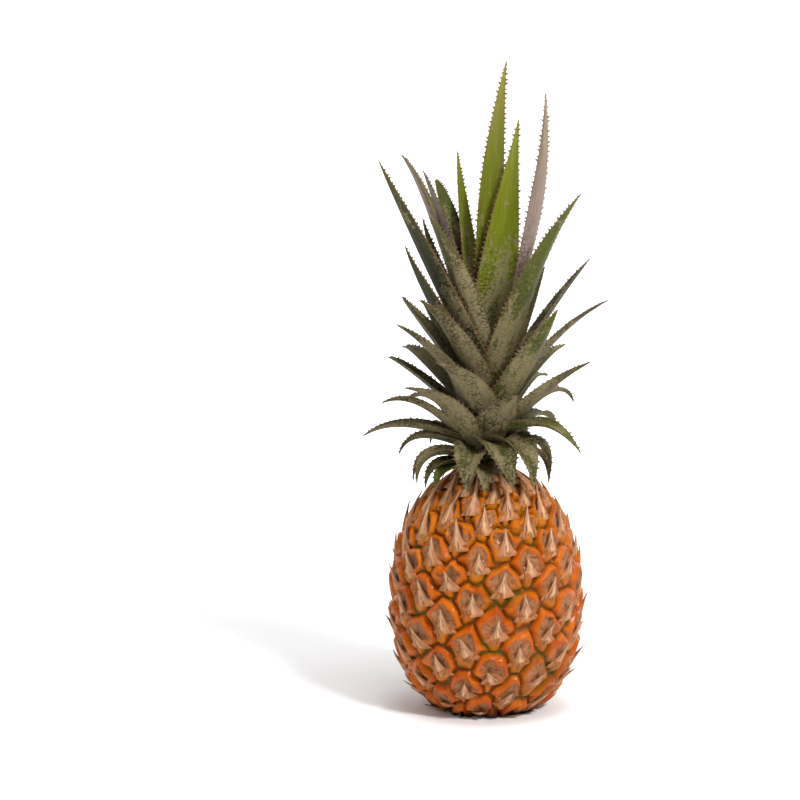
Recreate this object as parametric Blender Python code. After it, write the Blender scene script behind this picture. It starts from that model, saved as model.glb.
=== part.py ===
"""Pineapple: the fruit with its covering of eyes, the cut end of its stalk, and its leafy crown.

Metres, +Z up. The origin is at the middle of the flat base that the fruit stands on. Azimuths are in
degrees round the Z axis: 0 is the front (-Y), 90 the right (+X), 180 the back and -90 the left.
"""

import math
from dataclasses import dataclass

import bmesh
import bpy
import numpy as np
from mathutils import Matrix, Vector

MM = 0.001

# Barrel of the fruit, to the rounded faces of its eyes
FRUIT_RADIUS = 54.6 * MM
FRUIT_HEIGHT = 134.0 * MM
WAIST_HEIGHT = 60.0 * MM
LOWER_CURVE = (0.88, 2.4)
UPPER_CURVE = (0.935, 2.58)
RUNOUT = 8.0 * MM
CURVE_STEPS = 300

# Spirals of eyes: 8 rise to the right and 13 to the left, and in front they lean a little to the left.
# The eye's neighbours are 8 places on (up to its right), 13 on (up to its left) and 21 on (above it).
UP_RIGHT = 8
UP_LEFT = 13
ABOVE = 21
EYE_TURN = 137.42
FIRST_EYE_AZIMUTH = 3.7
FIRST_EYE_ARC = 65.5 * MM
EYE_RISE = 1.225 * MM
EYE_CLOSING = 0.0017
LOWEST_EYE = -66
HIGHEST_EYE = 108
SPIRAL_LEAN = 5.0
LEAN_FADE = 25.0 * MM

# A corner of an eye lies this far towards the eye above it and towards the one beside it
CORNER_ABOVE = 5 / 12
CORNER_BESIDE = 1 / 6

# One eye: the groove round it, its shoulder and its face as (share of the way out, depth), and its bract
GROOVE_DEPTH = 4.2 * MM
SHOULDER = (0.80, 1.1 * MM)
FACE = (0.44, 0.0)
BRACT_HEIGHT = 2.6 * MM
BRACT_LIFT = 2.4 * MM

# Cut end of the stalk in the hollow of the base
HOLLOW_RADIUS = 13.0 * MM
HOLLOW_DEPTH = 2.6 * MM
HOLLOW_SIDES = 32
STUB_ROUNDING = 0.4 * MM
GAP = 0.3 * MM
CREASE = math.radians(50)

# Stem of the crown, on which the leaves stand
STEM_BASE = FRUIT_HEIGHT + GAP
STEM_TOP = 204.0 * MM
STEM_BASE_RADIUS = 16.0 * MM
STEM_TOP_RADIUS = 6.5 * MM
STEM_SIDES = 16

# Blades of the leaves
ROOT_SUNK = 4.0 * MM
RIB_THICKNESS = (2.2 * MM, 1.0 * MM)
CHANNEL = 0.5
SPINE_SPACING = 16.5 * MM
SPINE_HEIGHT = 1.9 * MM
SPINE_WIDTH = 2.4 * MM
SPINE_HOOK = 0.5 * MM
FEWEST_SPINES = 4
SPINE_START = 0.8
SPINE_END = 0.3
TIP_POWER = 1.2


@dataclass(frozen=True)
class Leaf:
    """A crown leaf by the places of its midline, in degrees and millimetres.

    root is (azimuth, height) on the stem; middle and tip are (azimuth, distance from the axis, height);
    width is the greatest width of the blade, turn is how far it twists from root to tip, and point is
    the share of its length that tapers to the tip.
    """

    root: tuple
    middle: tuple
    tip: tuple
    width: float
    turn: float = 0.0
    point: float = 0.85


# The leaves of the front and the sides, from the upright heart down to the curled lowest ones
FRONT_LEAVES = (
    Leaf((185, 200), (170, 9, 292), (138, 16, 372), 14, 0, 0.6),
    Leaf((175, 195), (114, 9, 266), (118, 20, 339), 25),
    Leaf((225, 192), (222, 19, 268), (223, 25, 320), 14),
    Leaf((80, 195), (86, 26, 278), (88, 32, 355), 9, -100, 0.6),
    Leaf((28, 182), (51, 32, 251), (61, 59, 300), 18, 0, 1.0),
    Leaf((100, 180), (98, 37, 229), (100, 60, 259), 14),
    Leaf((78, 172), (80, 39, 214), (80, 70, 238), 15),
    Leaf((36, 166), (44, 36, 207), (45, 54, 236), 21),
    Leaf((66, 158), (69, 38, 187), (70, 62, 204), 21),
    Leaf((115, 156), (115, 40, 180), (115, 56, 173), 14),
    Leaf((50, 157), (58, 37, 167), (63, 59, 152), 17),
    Leaf((80, 150), (76, 32, 154), (75, 36, 131), 12),
    Leaf((105, 146), (105, 30, 147), (105, 37, 129), 12),
    Leaf((32, 154), (40, 30, 154), (40, 40, 132), 21),
    Leaf((6, 154), (15, 30, 153), (20, 41, 133), 23),
    Leaf((-26, 150), (-18, 32, 149), (-16, 43, 132), 22),
    Leaf((-5, 144), (-3, 28, 142), (-3, 36, 131), 15),
    Leaf((-66, 146), (-71, 34, 148), (-72, 42, 132), 15),
    Leaf((-98, 150), (-100, 38, 156), (-100, 51, 145), 15),
    Leaf((-48, 141), (-54, 29, 141), (-56, 36, 131), 14),
    Leaf((-90, 153), (-94, 46, 163), (-95, 72, 156), 17),
    Leaf((-110, 165), (-110, 45, 192), (-110, 60, 200), 12),
    Leaf((-130, 168), (-125, 43, 197), (-125, 58, 204), 20),
    Leaf((-70, 176), (-75, 34, 208), (-75, 54, 224), 18),
    Leaf((-110, 180), (-110, 37, 217), (-110, 52, 236), 18),
    Leaf((-34, 182), (-47, 29, 219), (-52, 50, 240), 17),
    Leaf((-60, 188), (-64, 34, 232), (-65, 52, 270), 18),
    Leaf((-64, 192), (-68, 40, 262), (-70, 66, 318), 22),
    Leaf((-100, 194), (-100, 32, 280), (-100, 50, 318), 20),
    Leaf((-80, 198), (-85, 25, 274), (-85, 37, 310), 16),
    Leaf((-137, 196), (-125, 26, 274), (-120, 34, 303), 18),
    Leaf((-28, 196), (-44, 26, 252), (-49, 45, 287), 16),
    Leaf((-28, 162), (-28, 30, 191), (-33, 55, 207), 25),
    Leaf((-50, 149), (-60, 31, 178), (-64, 53, 189), 24),
    Leaf((-78, 151), (-84, 38, 176), (-86, 61, 177), 15),
    Leaf((12, 152), (17, 26, 173), (20, 45, 188), 24),
    Leaf((-60, 142), (-65, 31, 143), (-67, 38, 130), 12),
    Leaf((-84, 145), (-88, 34, 147), (-88, 42, 131), 13),
)

# The back, tier by tier from the lowest: root height, middle and tip as (distance, height), width
BACK_TIERS = (
    (144, 32, 150, 39, 132, 14),
    (154, 41, 171, 60, 163, 16),
    (168, 37, 199, 57, 214, 18),
    (188, 28, 240, 46, 286, 19),
)
BACK_LEAVES = 22
BACK_SPREAD = 116.0
BACK_STEP = 0.618034
BACK_UNEVENNESS = 0.05
SEED = 15


def clear_scene():
    """Takes away every object that the file opens with."""
    for thing in list(bpy.data.objects):
        bpy.data.objects.remove(thing, do_unlink=True)


def make_material(name, color, roughness):
    """A Principled material of one colour (linear red, green, blue)."""
    material = bpy.data.materials.new(name)
    material.use_nodes = True
    shader = material.node_tree.nodes["Principled BSDF"]
    shader.inputs["Base Color"].default_value = (*color, 1.0)
    shader.inputs["Roughness"].default_value = roughness
    shader.inputs["Metallic"].default_value = 0.0
    return material


def add_object(name, mesh, material=None):
    """Links a mesh to the scene as a named object."""
    thing = bpy.data.objects.new(name, mesh)
    bpy.context.scene.collection.objects.link(thing)
    if material:
        mesh.materials.append(material)
    return thing


def finish_mesh(name, shape):
    """Turns a bmesh into a mesh with its faces pointing out, and frees it."""
    bmesh.ops.recalc_face_normals(shape, faces=shape.faces)
    mesh = bpy.data.meshes.new(name)
    shape.to_mesh(mesh)
    shape.free()
    return mesh


def mix(first, last, share):
    """The value a share of the way from first to last."""
    return first + (last - first) * share


def smooth_step(value):
    """A smooth rise from 0 to 1 as value goes from 0 to 1."""
    value = min(max(value, 0.0), 1.0)
    return value * value * (3.0 - 2.0 * value)


def around(azimuth, distance, height):
    """The point at an azimuth in radians, a distance from the axis and a height."""
    return Vector((distance * math.sin(azimuth), -distance * math.cos(azimuth), height))


def barrel_radius(height):
    """Radius of the barrel, which falls off above and below the waist as the root of 1 - (c u)^p."""
    if height < WAIST_HEIGHT:
        share, power = LOWER_CURVE
        run = (WAIST_HEIGHT - height) / WAIST_HEIGHT
    else:
        share, power = UPPER_CURVE
        run = (height - WAIST_HEIGHT) / (FRUIT_HEIGHT - WAIST_HEIGHT)
    return FRUIT_RADIUS * math.sqrt(1.0 - (share * run) ** power)


def barrel_curve():
    """Heights, radii and arc lengths up the barrel's side, run straight on a little past both ends."""
    heights = np.linspace(0.0, FRUIT_HEIGHT, CURVE_STEPS)
    radii = np.array([barrel_radius(height) for height in heights])
    low_slope = (radii[1] - radii[0]) / (heights[1] - heights[0])
    high_slope = (radii[-1] - radii[-2]) / (heights[-1] - heights[-2])
    radii = np.concatenate(([radii[0] - RUNOUT * low_slope], radii, [radii[-1] + RUNOUT * high_slope]))
    heights = np.concatenate(([-RUNOUT], heights, [FRUIT_HEIGHT + RUNOUT]))
    arcs = np.concatenate(([0.0], np.cumsum(np.hypot(np.diff(heights), np.diff(radii)))))
    return heights, radii, arcs - arcs[1]


HEIGHTS, RADII, ARCS = barrel_curve()


def skin_point(azimuth, arc, raised):
    """A point of the fruit's skin: on the barrel at an azimuth and an arc length, raised along its normal.

    The pattern leans to the left round the middle of the fruit, and stands straight at both ends.
    """
    height = float(np.interp(arc, ARCS, HEIGHTS))
    radius = float(np.interp(arc, ARCS, RADII))
    fade = smooth_step(height / LEAN_FADE) * smooth_step((FRUIT_HEIGHT - height) / LEAN_FADE)
    middle = Vector((0.0, 0.0, FRUIT_HEIGHT / 2))
    turned = Matrix.Rotation(math.radians(-SPIRAL_LEAN * fade), 3, "Y")
    place = turned @ (around(azimuth, radius, height) - middle) + middle
    height = place.z
    radius = float(np.interp(height, HEIGHTS, RADII))
    azimuth = math.atan2(place.x, -place.y)
    step = 0.5 * MM
    above = float(np.interp(height + step, HEIGHTS, RADII))
    below = float(np.interp(height - step, HEIGHTS, RADII))
    slope = (above - below) / (2 * step)
    outward = around(azimuth, 1.0, -slope).normalized()
    return around(azimuth, radius, height) + outward * raised


def eye_arc(count):
    """Arc length of an eye: each stands a little higher than the one before, by less and less."""
    return FIRST_EYE_ARC + EYE_RISE * count * (1.0 - EYE_CLOSING * count)


def turn_of(count):
    """Azimuth from one eye to the one that many places on, in degrees between -180 and 180."""
    return (count * EYE_TURN + 180.0) % 360.0 - 180.0


def eye_azimuth(count):
    """Azimuth of an eye, in radians."""
    return math.radians(FIRST_EYE_AZIMUTH + turn_of(count))


def corner_place(count, beside):
    """Azimuth and arc length of the corner where an eye meets the one above it and the one beside them."""
    turn = CORNER_BESIDE * turn_of(beside) + CORNER_ABOVE * turn_of(ABOVE)
    own_share = 1.0 - CORNER_BESIDE - CORNER_ABOVE
    arc = own_share * eye_arc(count) + CORNER_BESIDE * eye_arc(count + beside)
    return eye_azimuth(count) + math.radians(turn), arc + CORNER_ABOVE * eye_arc(count + ABOVE)


def eye_corners(count):
    """Keys of an eye's six corners, anticlockwise from the right, as (eye below, the one beside it)."""
    return (
        (count, UP_RIGHT),
        (count, UP_LEFT),
        (count - UP_RIGHT, UP_RIGHT),
        (count - ABOVE, UP_LEFT),
        (count - ABOVE, UP_RIGHT),
        (count - UP_LEFT, UP_LEFT),
    )


def add_eye(shape, count, corners):
    """Adds an eye: its groove corners, shoulder, face and the point of its bract, lifted upward."""
    azimuth = eye_azimuth(count)
    arc = eye_arc(count)
    rings = []
    for share, depth in ((1.0, GROOVE_DEPTH), SHOULDER, FACE):
        ring = []
        for key in eye_corners(count):
            corner_azimuth, corner_arc = corner_place(*key)
            away = math.remainder(corner_azimuth - azimuth, 2 * math.pi)
            if share == 1.0:
                if key not in corners:
                    corners[key] = shape.verts.new(skin_point(corner_azimuth, corner_arc, -depth))
                ring.append(corners[key])
            else:
                place = skin_point(azimuth + share * away, mix(arc, corner_arc, share), -depth)
                ring.append(shape.verts.new(place))
        rings.append(ring)
    for outer, inner in zip(rings, rings[1:]):
        for side in range(len(outer)):
            shape.faces.new((outer[side - 1], outer[side], inner[side], inner[side - 1]))
    point = shape.verts.new(skin_point(azimuth, arc + BRACT_LIFT, BRACT_HEIGHT))
    for side in range(len(inner)):
        shape.faces.new((inner[side - 1], inner[side], point))


def close_end(shape, height):
    """Closes the open rim nearest a height with faces that meet on the axis."""
    centre = shape.verts.new((0.0, 0.0, height))
    rim = [edge for edge in shape.edges if edge.is_boundary]
    for edge in rim:
        if abs(edge.verts[0].co.z - height) < FRUIT_HEIGHT / 2:
            shape.faces.new((edge.verts[0], edge.verts[1], centre))


def cut_flat(shape, height, side):
    """Cuts the shape flat at a height, away from the given side (1 up, -1 down), and closes the cut."""
    parts = shape.verts[:] + shape.edges[:] + shape.faces[:]
    bmesh.ops.bisect_plane(
        shape, geom=parts, plane_co=(0, 0, height), plane_no=(0, 0, side), clear_outer=True
    )
    rim = [edge for edge in shape.edges if edge.is_boundary]
    bmesh.ops.contextual_create(shape, geom=rim)


def make_cutter(name, radius, low, high):
    """A hidden upright cylinder to cut with."""
    shape = bmesh.new()
    place = Matrix.Translation((0.0, 0.0, (low + high) / 2))
    bmesh.ops.create_cone(shape, cap_ends=True, segments=HOLLOW_SIDES, radius1=radius, radius2=radius,
                          depth=high - low, matrix=place)
    cutter = add_object(name, finish_mesh(name, shape))
    cutter.display_type = "WIRE"
    cutter.hide_render = True
    return cutter


def make_fruit(material):
    """The fruit: a covering of eyes on the barrel, cut flat under the crown and at the hollowed base."""
    shape = bmesh.new()
    corners = {}
    for count in range(LOWEST_EYE, HIGHEST_EYE + 1):
        add_eye(shape, count, corners)
    close_end(shape, HEIGHTS[0])
    close_end(shape, HEIGHTS[-1])
    bmesh.ops.recalc_face_normals(shape, faces=shape.faces)
    cut_flat(shape, 0.0, -1)
    cut_flat(shape, FRUIT_HEIGHT, 1)
    bmesh.ops.triangulate(shape, faces=shape.faces)
    fruit = add_object("fruit", finish_mesh("fruit", shape), material)
    hollow = fruit.modifiers.new("hollow", "BOOLEAN")
    hollow.operation = "DIFFERENCE"
    hollow.object = make_cutter("hollow_cutter", HOLLOW_RADIUS, -HOLLOW_DEPTH, HOLLOW_DEPTH)
    fruit.data.shade_smooth()
    fruit.data.set_sharp_from_angle(angle=CREASE)
    return fruit


def make_stalk_stub(material):
    """The cut end of the stalk: a low disc with a rounded rim that fills the hollow but for a thin gap."""
    shape = bmesh.new()
    depth = HOLLOW_DEPTH - GAP
    bmesh.ops.create_cone(shape, cap_ends=True, segments=HOLLOW_SIDES, radius1=HOLLOW_RADIUS - GAP,
                          radius2=HOLLOW_RADIUS - GAP, depth=depth)
    stub = add_object("stalk_stub", finish_mesh("stalk_stub", shape), material)
    stub.location = (0.0, 0.0, depth / 2)
    rounding = stub.modifiers.new("rounding", "BEVEL")
    rounding.width = STUB_ROUNDING
    rounding.segments = 2
    rounding.limit_method = "ANGLE"
    stub.data.shade_smooth()
    stub.data.set_sharp_from_angle(angle=CREASE)
    return stub


class Blade:
    """The surface of one leaf: a midline, and across it a channel whose margins stand up from the rib."""

    def __init__(self, leaf):
        stem_share = (leaf.root[1] * MM - STEM_BASE) / (STEM_TOP - STEM_BASE)
        root_radius = mix(STEM_BASE_RADIUS, STEM_TOP_RADIUS, stem_share) - ROOT_SUNK
        azimuths = [math.radians(place[0]) for place in (leaf.root, leaf.middle, leaf.tip)]
        self.root = around(azimuths[0], root_radius, leaf.root[1] * MM)
        middle = around(azimuths[1], leaf.middle[1] * MM, leaf.middle[2] * MM)
        self.tip = around(azimuths[2], leaf.tip[1] * MM, leaf.tip[2] * MM)
        self.bend = 2.0 * middle - (self.root + self.tip) / 2
        self.across = -around(azimuths[0] + math.pi / 2, 1.0, 0.0)
        self.width = leaf.width * MM
        self.point = leaf.point
        self.turn = math.radians(leaf.turn)
        self.length = (middle - self.root).length + (self.tip - middle).length

    def midline(self, share):
        """A point of the midline: the quadratic curve through the root, the middle and the tip."""
        back = 1.0 - share
        return back * back * self.root + 2.0 * back * share * self.bend + share * share * self.tip

    def directions(self, share):
        """The ways along the blade, across it and out of its inner face."""
        along = (mix(self.bend, self.tip, share) - mix(self.root, self.bend, share)).normalized()
        across = self.across - along * self.across.dot(along)
        across = Matrix.Rotation(self.turn * share, 3, along) @ across.normalized()
        return along, across, across.cross(along)

    def half_width(self, share):
        """Half the blade's width at a share of its length: a broad clasping root and a long fine point."""
        taper = math.sin(0.5 * math.pi * min(1.0, (1.0 - share) / self.point))
        return 0.5 * self.width * taper ** TIP_POWER

    def margin(self, share, side, outward=0.0, forward=0.0):
        """A point of the margin on one side, moved outward from the blade and forward along it."""
        along, across, inner = self.directions(share)
        half = self.half_width(share)
        raised = half * CHANNEL
        return self.midline(share) + across * side * (half + outward) + inner * raised + along * forward

    def rib(self, share, face):
        """A point of the rib on the inner face (1) or the outer face (-1)."""
        inner = self.directions(share)[2]
        return self.midline(share) + inner * face * 0.5 * mix(*RIB_THICKNESS, share)


def make_blade(leaf, name):
    """One spiny leaf as a closed mesh, with a narrow hooked spine on each margin at every station."""
    blade = Blade(leaf)
    shape = bmesh.new()
    stations = max(FEWEST_SPINES, round(blade.length / SPINE_SPACING))
    shares = [(index + SPINE_START) / (stations + SPINE_START + SPINE_END) for index in range(stations)]
    ribs = [[shape.verts.new(blade.rib(share, face)) for share in [0.0] + shares] for face in (1, -1)]
    apex = shape.verts.new(blade.tip)
    reach = SPINE_WIDTH / 2 / blade.length
    for side in (1, -1):
        margin = [[shape.verts.new(blade.margin(0.0, side))]]
        for share in shares:
            spine = blade.margin(share, side, SPINE_HEIGHT, SPINE_HOOK)
            places = (blade.margin(share - reach, side), spine, blade.margin(share + reach, side))
            margin.append([shape.verts.new(place) for place in places])
        for rib in ribs:
            for here, (before, after) in enumerate(zip(margin, margin[1:])):
                shape.faces.new((rib[here], before[-1], after[0]))
                shape.faces.new((rib[here], after[0], rib[here + 1]))
                shape.faces.new((rib[here + 1], after[0], after[1]))
                shape.faces.new((rib[here + 1], after[1], after[2]))
            shape.faces.new((rib[-1], margin[-1][-1], apex))
        shape.faces.new((margin[0][0], ribs[0][0], ribs[1][0]))
    return add_object(name, finish_mesh(name, shape))


def back_leaves():
    """The leaves of the back, spread by the golden section and a little unevenly."""
    draw = np.random.default_rng(SEED)
    tiers = np.array(BACK_TIERS, dtype=float)
    leaves = []
    for index in range(BACK_LEAVES):
        level = (index + 0.5) / BACK_LEAVES * (len(tiers) - 1)
        sizes = [float(np.interp(level, range(len(tiers)), column)) for column in tiers.T]
        uneven = 1.0 + draw.uniform(-BACK_UNEVENNESS, BACK_UNEVENNESS, 2)
        azimuth = 180.0 + BACK_SPREAD * ((index * BACK_STEP) % 1.0 - 0.5)
        root, middle_reach, middle_height, tip_reach, tip_height, width = sizes
        middle = (azimuth, middle_reach * uneven[0], middle_height)
        tip = (azimuth, tip_reach * uneven[1], tip_height)
        leaves.append(Leaf((azimuth, root), middle, tip, width))
    return leaves


def make_stem():
    """The stem of the crown: a slim cone with a domed top."""
    shape = bmesh.new()
    height = STEM_TOP - STEM_BASE
    place = Matrix.Translation((0.0, 0.0, STEM_BASE + height / 2))
    bmesh.ops.create_cone(shape, cap_ends=True, segments=STEM_SIDES, radius1=STEM_BASE_RADIUS,
                          radius2=STEM_TOP_RADIUS, depth=height, matrix=place)
    dome = shape.verts.new((0.0, 0.0, STEM_TOP + STEM_TOP_RADIUS / 2))
    top = max(shape.faces, key=lambda face: face.calc_center_median().z)
    rim = list(top.verts)
    shape.faces.remove(top)
    for first, second in zip(rim, rim[1:] + rim[:1]):
        shape.faces.new((first, second, dome))
    bmesh.ops.triangulate(shape, faces=shape.faces)
    return finish_mesh("crown", shape)


def keep_outer_skin(mesh):
    """Fills the pockets that crossing leaves seal, by leaving only the largest skin of the mesh."""
    shape = bmesh.new()
    shape.from_mesh(mesh)
    waiting = set(shape.faces)
    skins = []
    while waiting:
        skin = [waiting.pop()]
        for face in skin:
            linked = {other for edge in face.edges for other in edge.link_faces} & waiting
            waiting -= linked
            skin.extend(linked)
        skins.append(skin)
    skins.sort(key=len)
    for skin in skins[:-1]:
        bmesh.ops.delete(shape, geom=skin, context="FACES")
    shape.to_mesh(mesh)
    shape.free()


def make_crown(material):
    """The crown: the stem with all its leaves, joined into one body.

    The manifold solver joins them, because the exact one leaves edges that four faces share.
    """
    crown = add_object("crown", make_stem(), material)
    blades = bpy.data.collections.new("blades")
    bpy.context.scene.collection.children.link(blades)
    for index, leaf in enumerate(FRONT_LEAVES + tuple(back_leaves())):
        blade = make_blade(leaf, f"blade_{index}")
        bpy.context.scene.collection.objects.unlink(blade)
        blades.objects.link(blade)
    join = crown.modifiers.new("join", "BOOLEAN")
    join.operation = "UNION"
    join.operand_type = "COLLECTION"
    join.collection = blades
    join.solver = "MANIFOLD"
    bpy.context.view_layer.objects.active = crown
    with bpy.context.temp_override(object=crown, active_object=crown):
        bpy.ops.object.modifier_apply(modifier="join")
    for blade in list(blades.objects):
        bpy.data.objects.remove(blade, do_unlink=True)
    bpy.data.collections.remove(blades)
    keep_outer_skin(crown.data)
    return crown


def main():
    """Builds the pineapple and stands its pieces on one empty."""
    clear_scene()
    rind = make_material("rind", (0.62, 0.21, 0.03), 0.45)
    cut_stalk = make_material("cut_stalk", (0.16, 0.09, 0.05), 0.85)
    leaf_green = make_material("leaf", (0.13, 0.17, 0.06), 0.6)
    stand = bpy.data.objects.new("pineapple", None)
    bpy.context.scene.collection.objects.link(stand)
    for piece in (make_fruit(rind), make_stalk_stub(cut_stalk), make_crown(leaf_green)):
        piece.parent = stand


main()
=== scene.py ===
"""Dresses a pineapple: its rind of eyes, its papery bracts, the cut stalk and the crown's spiny leaves.

The rind is one relief surface over the spirals of eyes. Bracts, leaves and spines are thin closed blades,
carried along the same midlines as the solids. Metres, +Z up. Azimuths: 0 is the front (-Y) and 90 is the
right (+X).
"""

import logging
import math
from dataclasses import dataclass
from dataclasses import field
from enum import Enum

import bpy
import numpy as np
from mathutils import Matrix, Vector


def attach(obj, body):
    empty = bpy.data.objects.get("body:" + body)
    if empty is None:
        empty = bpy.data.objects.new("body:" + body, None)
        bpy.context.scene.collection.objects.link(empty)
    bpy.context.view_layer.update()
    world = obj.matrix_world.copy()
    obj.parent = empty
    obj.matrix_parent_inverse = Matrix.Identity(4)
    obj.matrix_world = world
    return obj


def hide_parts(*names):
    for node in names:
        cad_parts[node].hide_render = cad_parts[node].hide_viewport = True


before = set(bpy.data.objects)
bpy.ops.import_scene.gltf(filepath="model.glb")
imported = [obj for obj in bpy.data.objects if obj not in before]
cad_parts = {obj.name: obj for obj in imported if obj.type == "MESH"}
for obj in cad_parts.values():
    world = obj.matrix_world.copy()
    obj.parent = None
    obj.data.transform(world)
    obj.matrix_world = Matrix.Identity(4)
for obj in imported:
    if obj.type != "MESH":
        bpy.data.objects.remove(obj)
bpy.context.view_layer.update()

Array = np.ndarray
MM = 0.001
BODY = "root"

log = logging.getLogger("pineapple")


def smooth_step(value: Array) -> Array:
    """A smooth rise from 0 to 1 as value goes from 0 to 1: 3 v^2 - 2 v^3."""
    value = np.clip(value, 0.0, 1.0)
    return value * value * (3.0 - 2.0 * value)


def mix(first: Array, last: Array, share: Array) -> Array:
    """The value a share of the way from first to last."""
    return first + (last - first) * share


def unit(vectors: Array) -> Array:
    """The same directions with length 1, along the last axis."""
    return vectors / np.linalg.norm(vectors, axis=-1, keepdims=True)


def around(azimuth: Array, distance: Array, height: Array) -> Array:
    """Points at azimuths in radians, distances from the axis and heights: (d sin a, -d cos a, h)."""
    places = np.broadcast_arrays(distance * np.sin(azimuth), -distance * np.cos(azimuth), height)
    return np.stack(places, axis=-1)


def linear(red: int, green: int, blue: int) -> tuple[float, float, float, float]:
    """A screen colour of 0 to 255 as the linear colour that shaders take: ((c + 0.055) / 1.055)^2.4."""
    shares = [((value / 255.0 + 0.055) / 1.055) ** 2.4 for value in (red, green, blue)]
    return (shares[0], shares[1], shares[2], 1.0)


def sheet_faces(rows: int, columns: int, closed: bool = False) -> Array:
    """Quads of a grid of points that is counted row by row.

    Args:
        rows: Number of rows of points.
        columns: Points in a row.
        closed: Whether each row runs round to its start.

    Returns:
        Point numbers, four to a face.
    """
    here = np.arange(rows * columns).reshape(rows, columns)
    beside = np.roll(here, -1, axis=1)
    if not closed:
        here = here[:, :-1]
        beside = beside[:, :-1]
    corners = (here[:-1], beside[:-1], beside[1:], here[1:])
    return np.stack(corners, axis=-1).reshape(-1, 4)


def fan_faces(ring: Array, pole: int) -> Array:
    """Triangles from each side of a closed ring of points to one pole."""
    return np.stack((ring, np.roll(ring, -1), np.full(len(ring), pole)), axis=-1)


@dataclass
class Surface:
    """Points, faces and named values of a piece, gathered before they are put in a mesh."""

    points: Array
    quads: Array
    triangles: Array
    values: dict[str, Array] = field(default_factory=dict)

    @classmethod
    def joined(cls, parts: list["Surface"]) -> "Surface":
        """One surface that holds several, with the same named values.

        Args:
            parts: The surfaces.

        Returns:
            The joined surface.
        """
        starts = np.cumsum([0] + [len(part.points) for part in parts])
        quads = [part.quads + start for part, start in zip(parts, starts)]
        triangles = [part.triangles + start for part, start in zip(parts, starts)]
        values = {name: np.concatenate([part.values[name] for part in parts]) for name in parts[0].values}
        points = np.concatenate([part.points for part in parts])
        return cls(points, np.concatenate(quads), np.concatenate(triangles), values)

    def to_piece(self, name: str, material: bpy.types.Material) -> bpy.types.Object:
        """Makes a smooth-shaded object at the origin.

        Args:
            name: The piece's name.
            material: Its finish.

        Returns:
            The new object, linked to the scene.
        """
        mesh = bpy.data.meshes.new(name)
        loops = np.concatenate((self.quads.ravel(), self.triangles.ravel()))
        sizes = np.concatenate((np.full(len(self.quads), 4), np.full(len(self.triangles), 3)))
        mesh.vertices.add(len(self.points))
        mesh.vertices.foreach_set("co", self.points.astype(np.float32).ravel())
        mesh.loops.add(len(loops))
        mesh.loops.foreach_set("vertex_index", loops.astype(np.int32))
        mesh.polygons.add(len(sizes))
        mesh.polygons.foreach_set("loop_start", (np.cumsum(sizes) - sizes).astype(np.int32))
        mesh.update(calc_edges=True)
        mesh.validate()
        for label, numbers in self.values.items():
            if numbers.ndim == 2:
                colors = mesh.attributes.new(label, "FLOAT_COLOR", "POINT")
                colors.data.foreach_set("color", numbers.astype(np.float32).ravel())
            else:
                layer = mesh.attributes.new(label, "FLOAT", "POINT")
                layer.data.foreach_set("value", numbers.astype(np.float32))
        mesh.shade_smooth()
        mesh.materials.append(material)
        piece = bpy.data.objects.new(name, mesh)
        bpy.context.scene.collection.objects.link(piece)
        return piece


Socket = bpy.types.NodeSocket
Value = Socket | float | tuple


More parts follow.
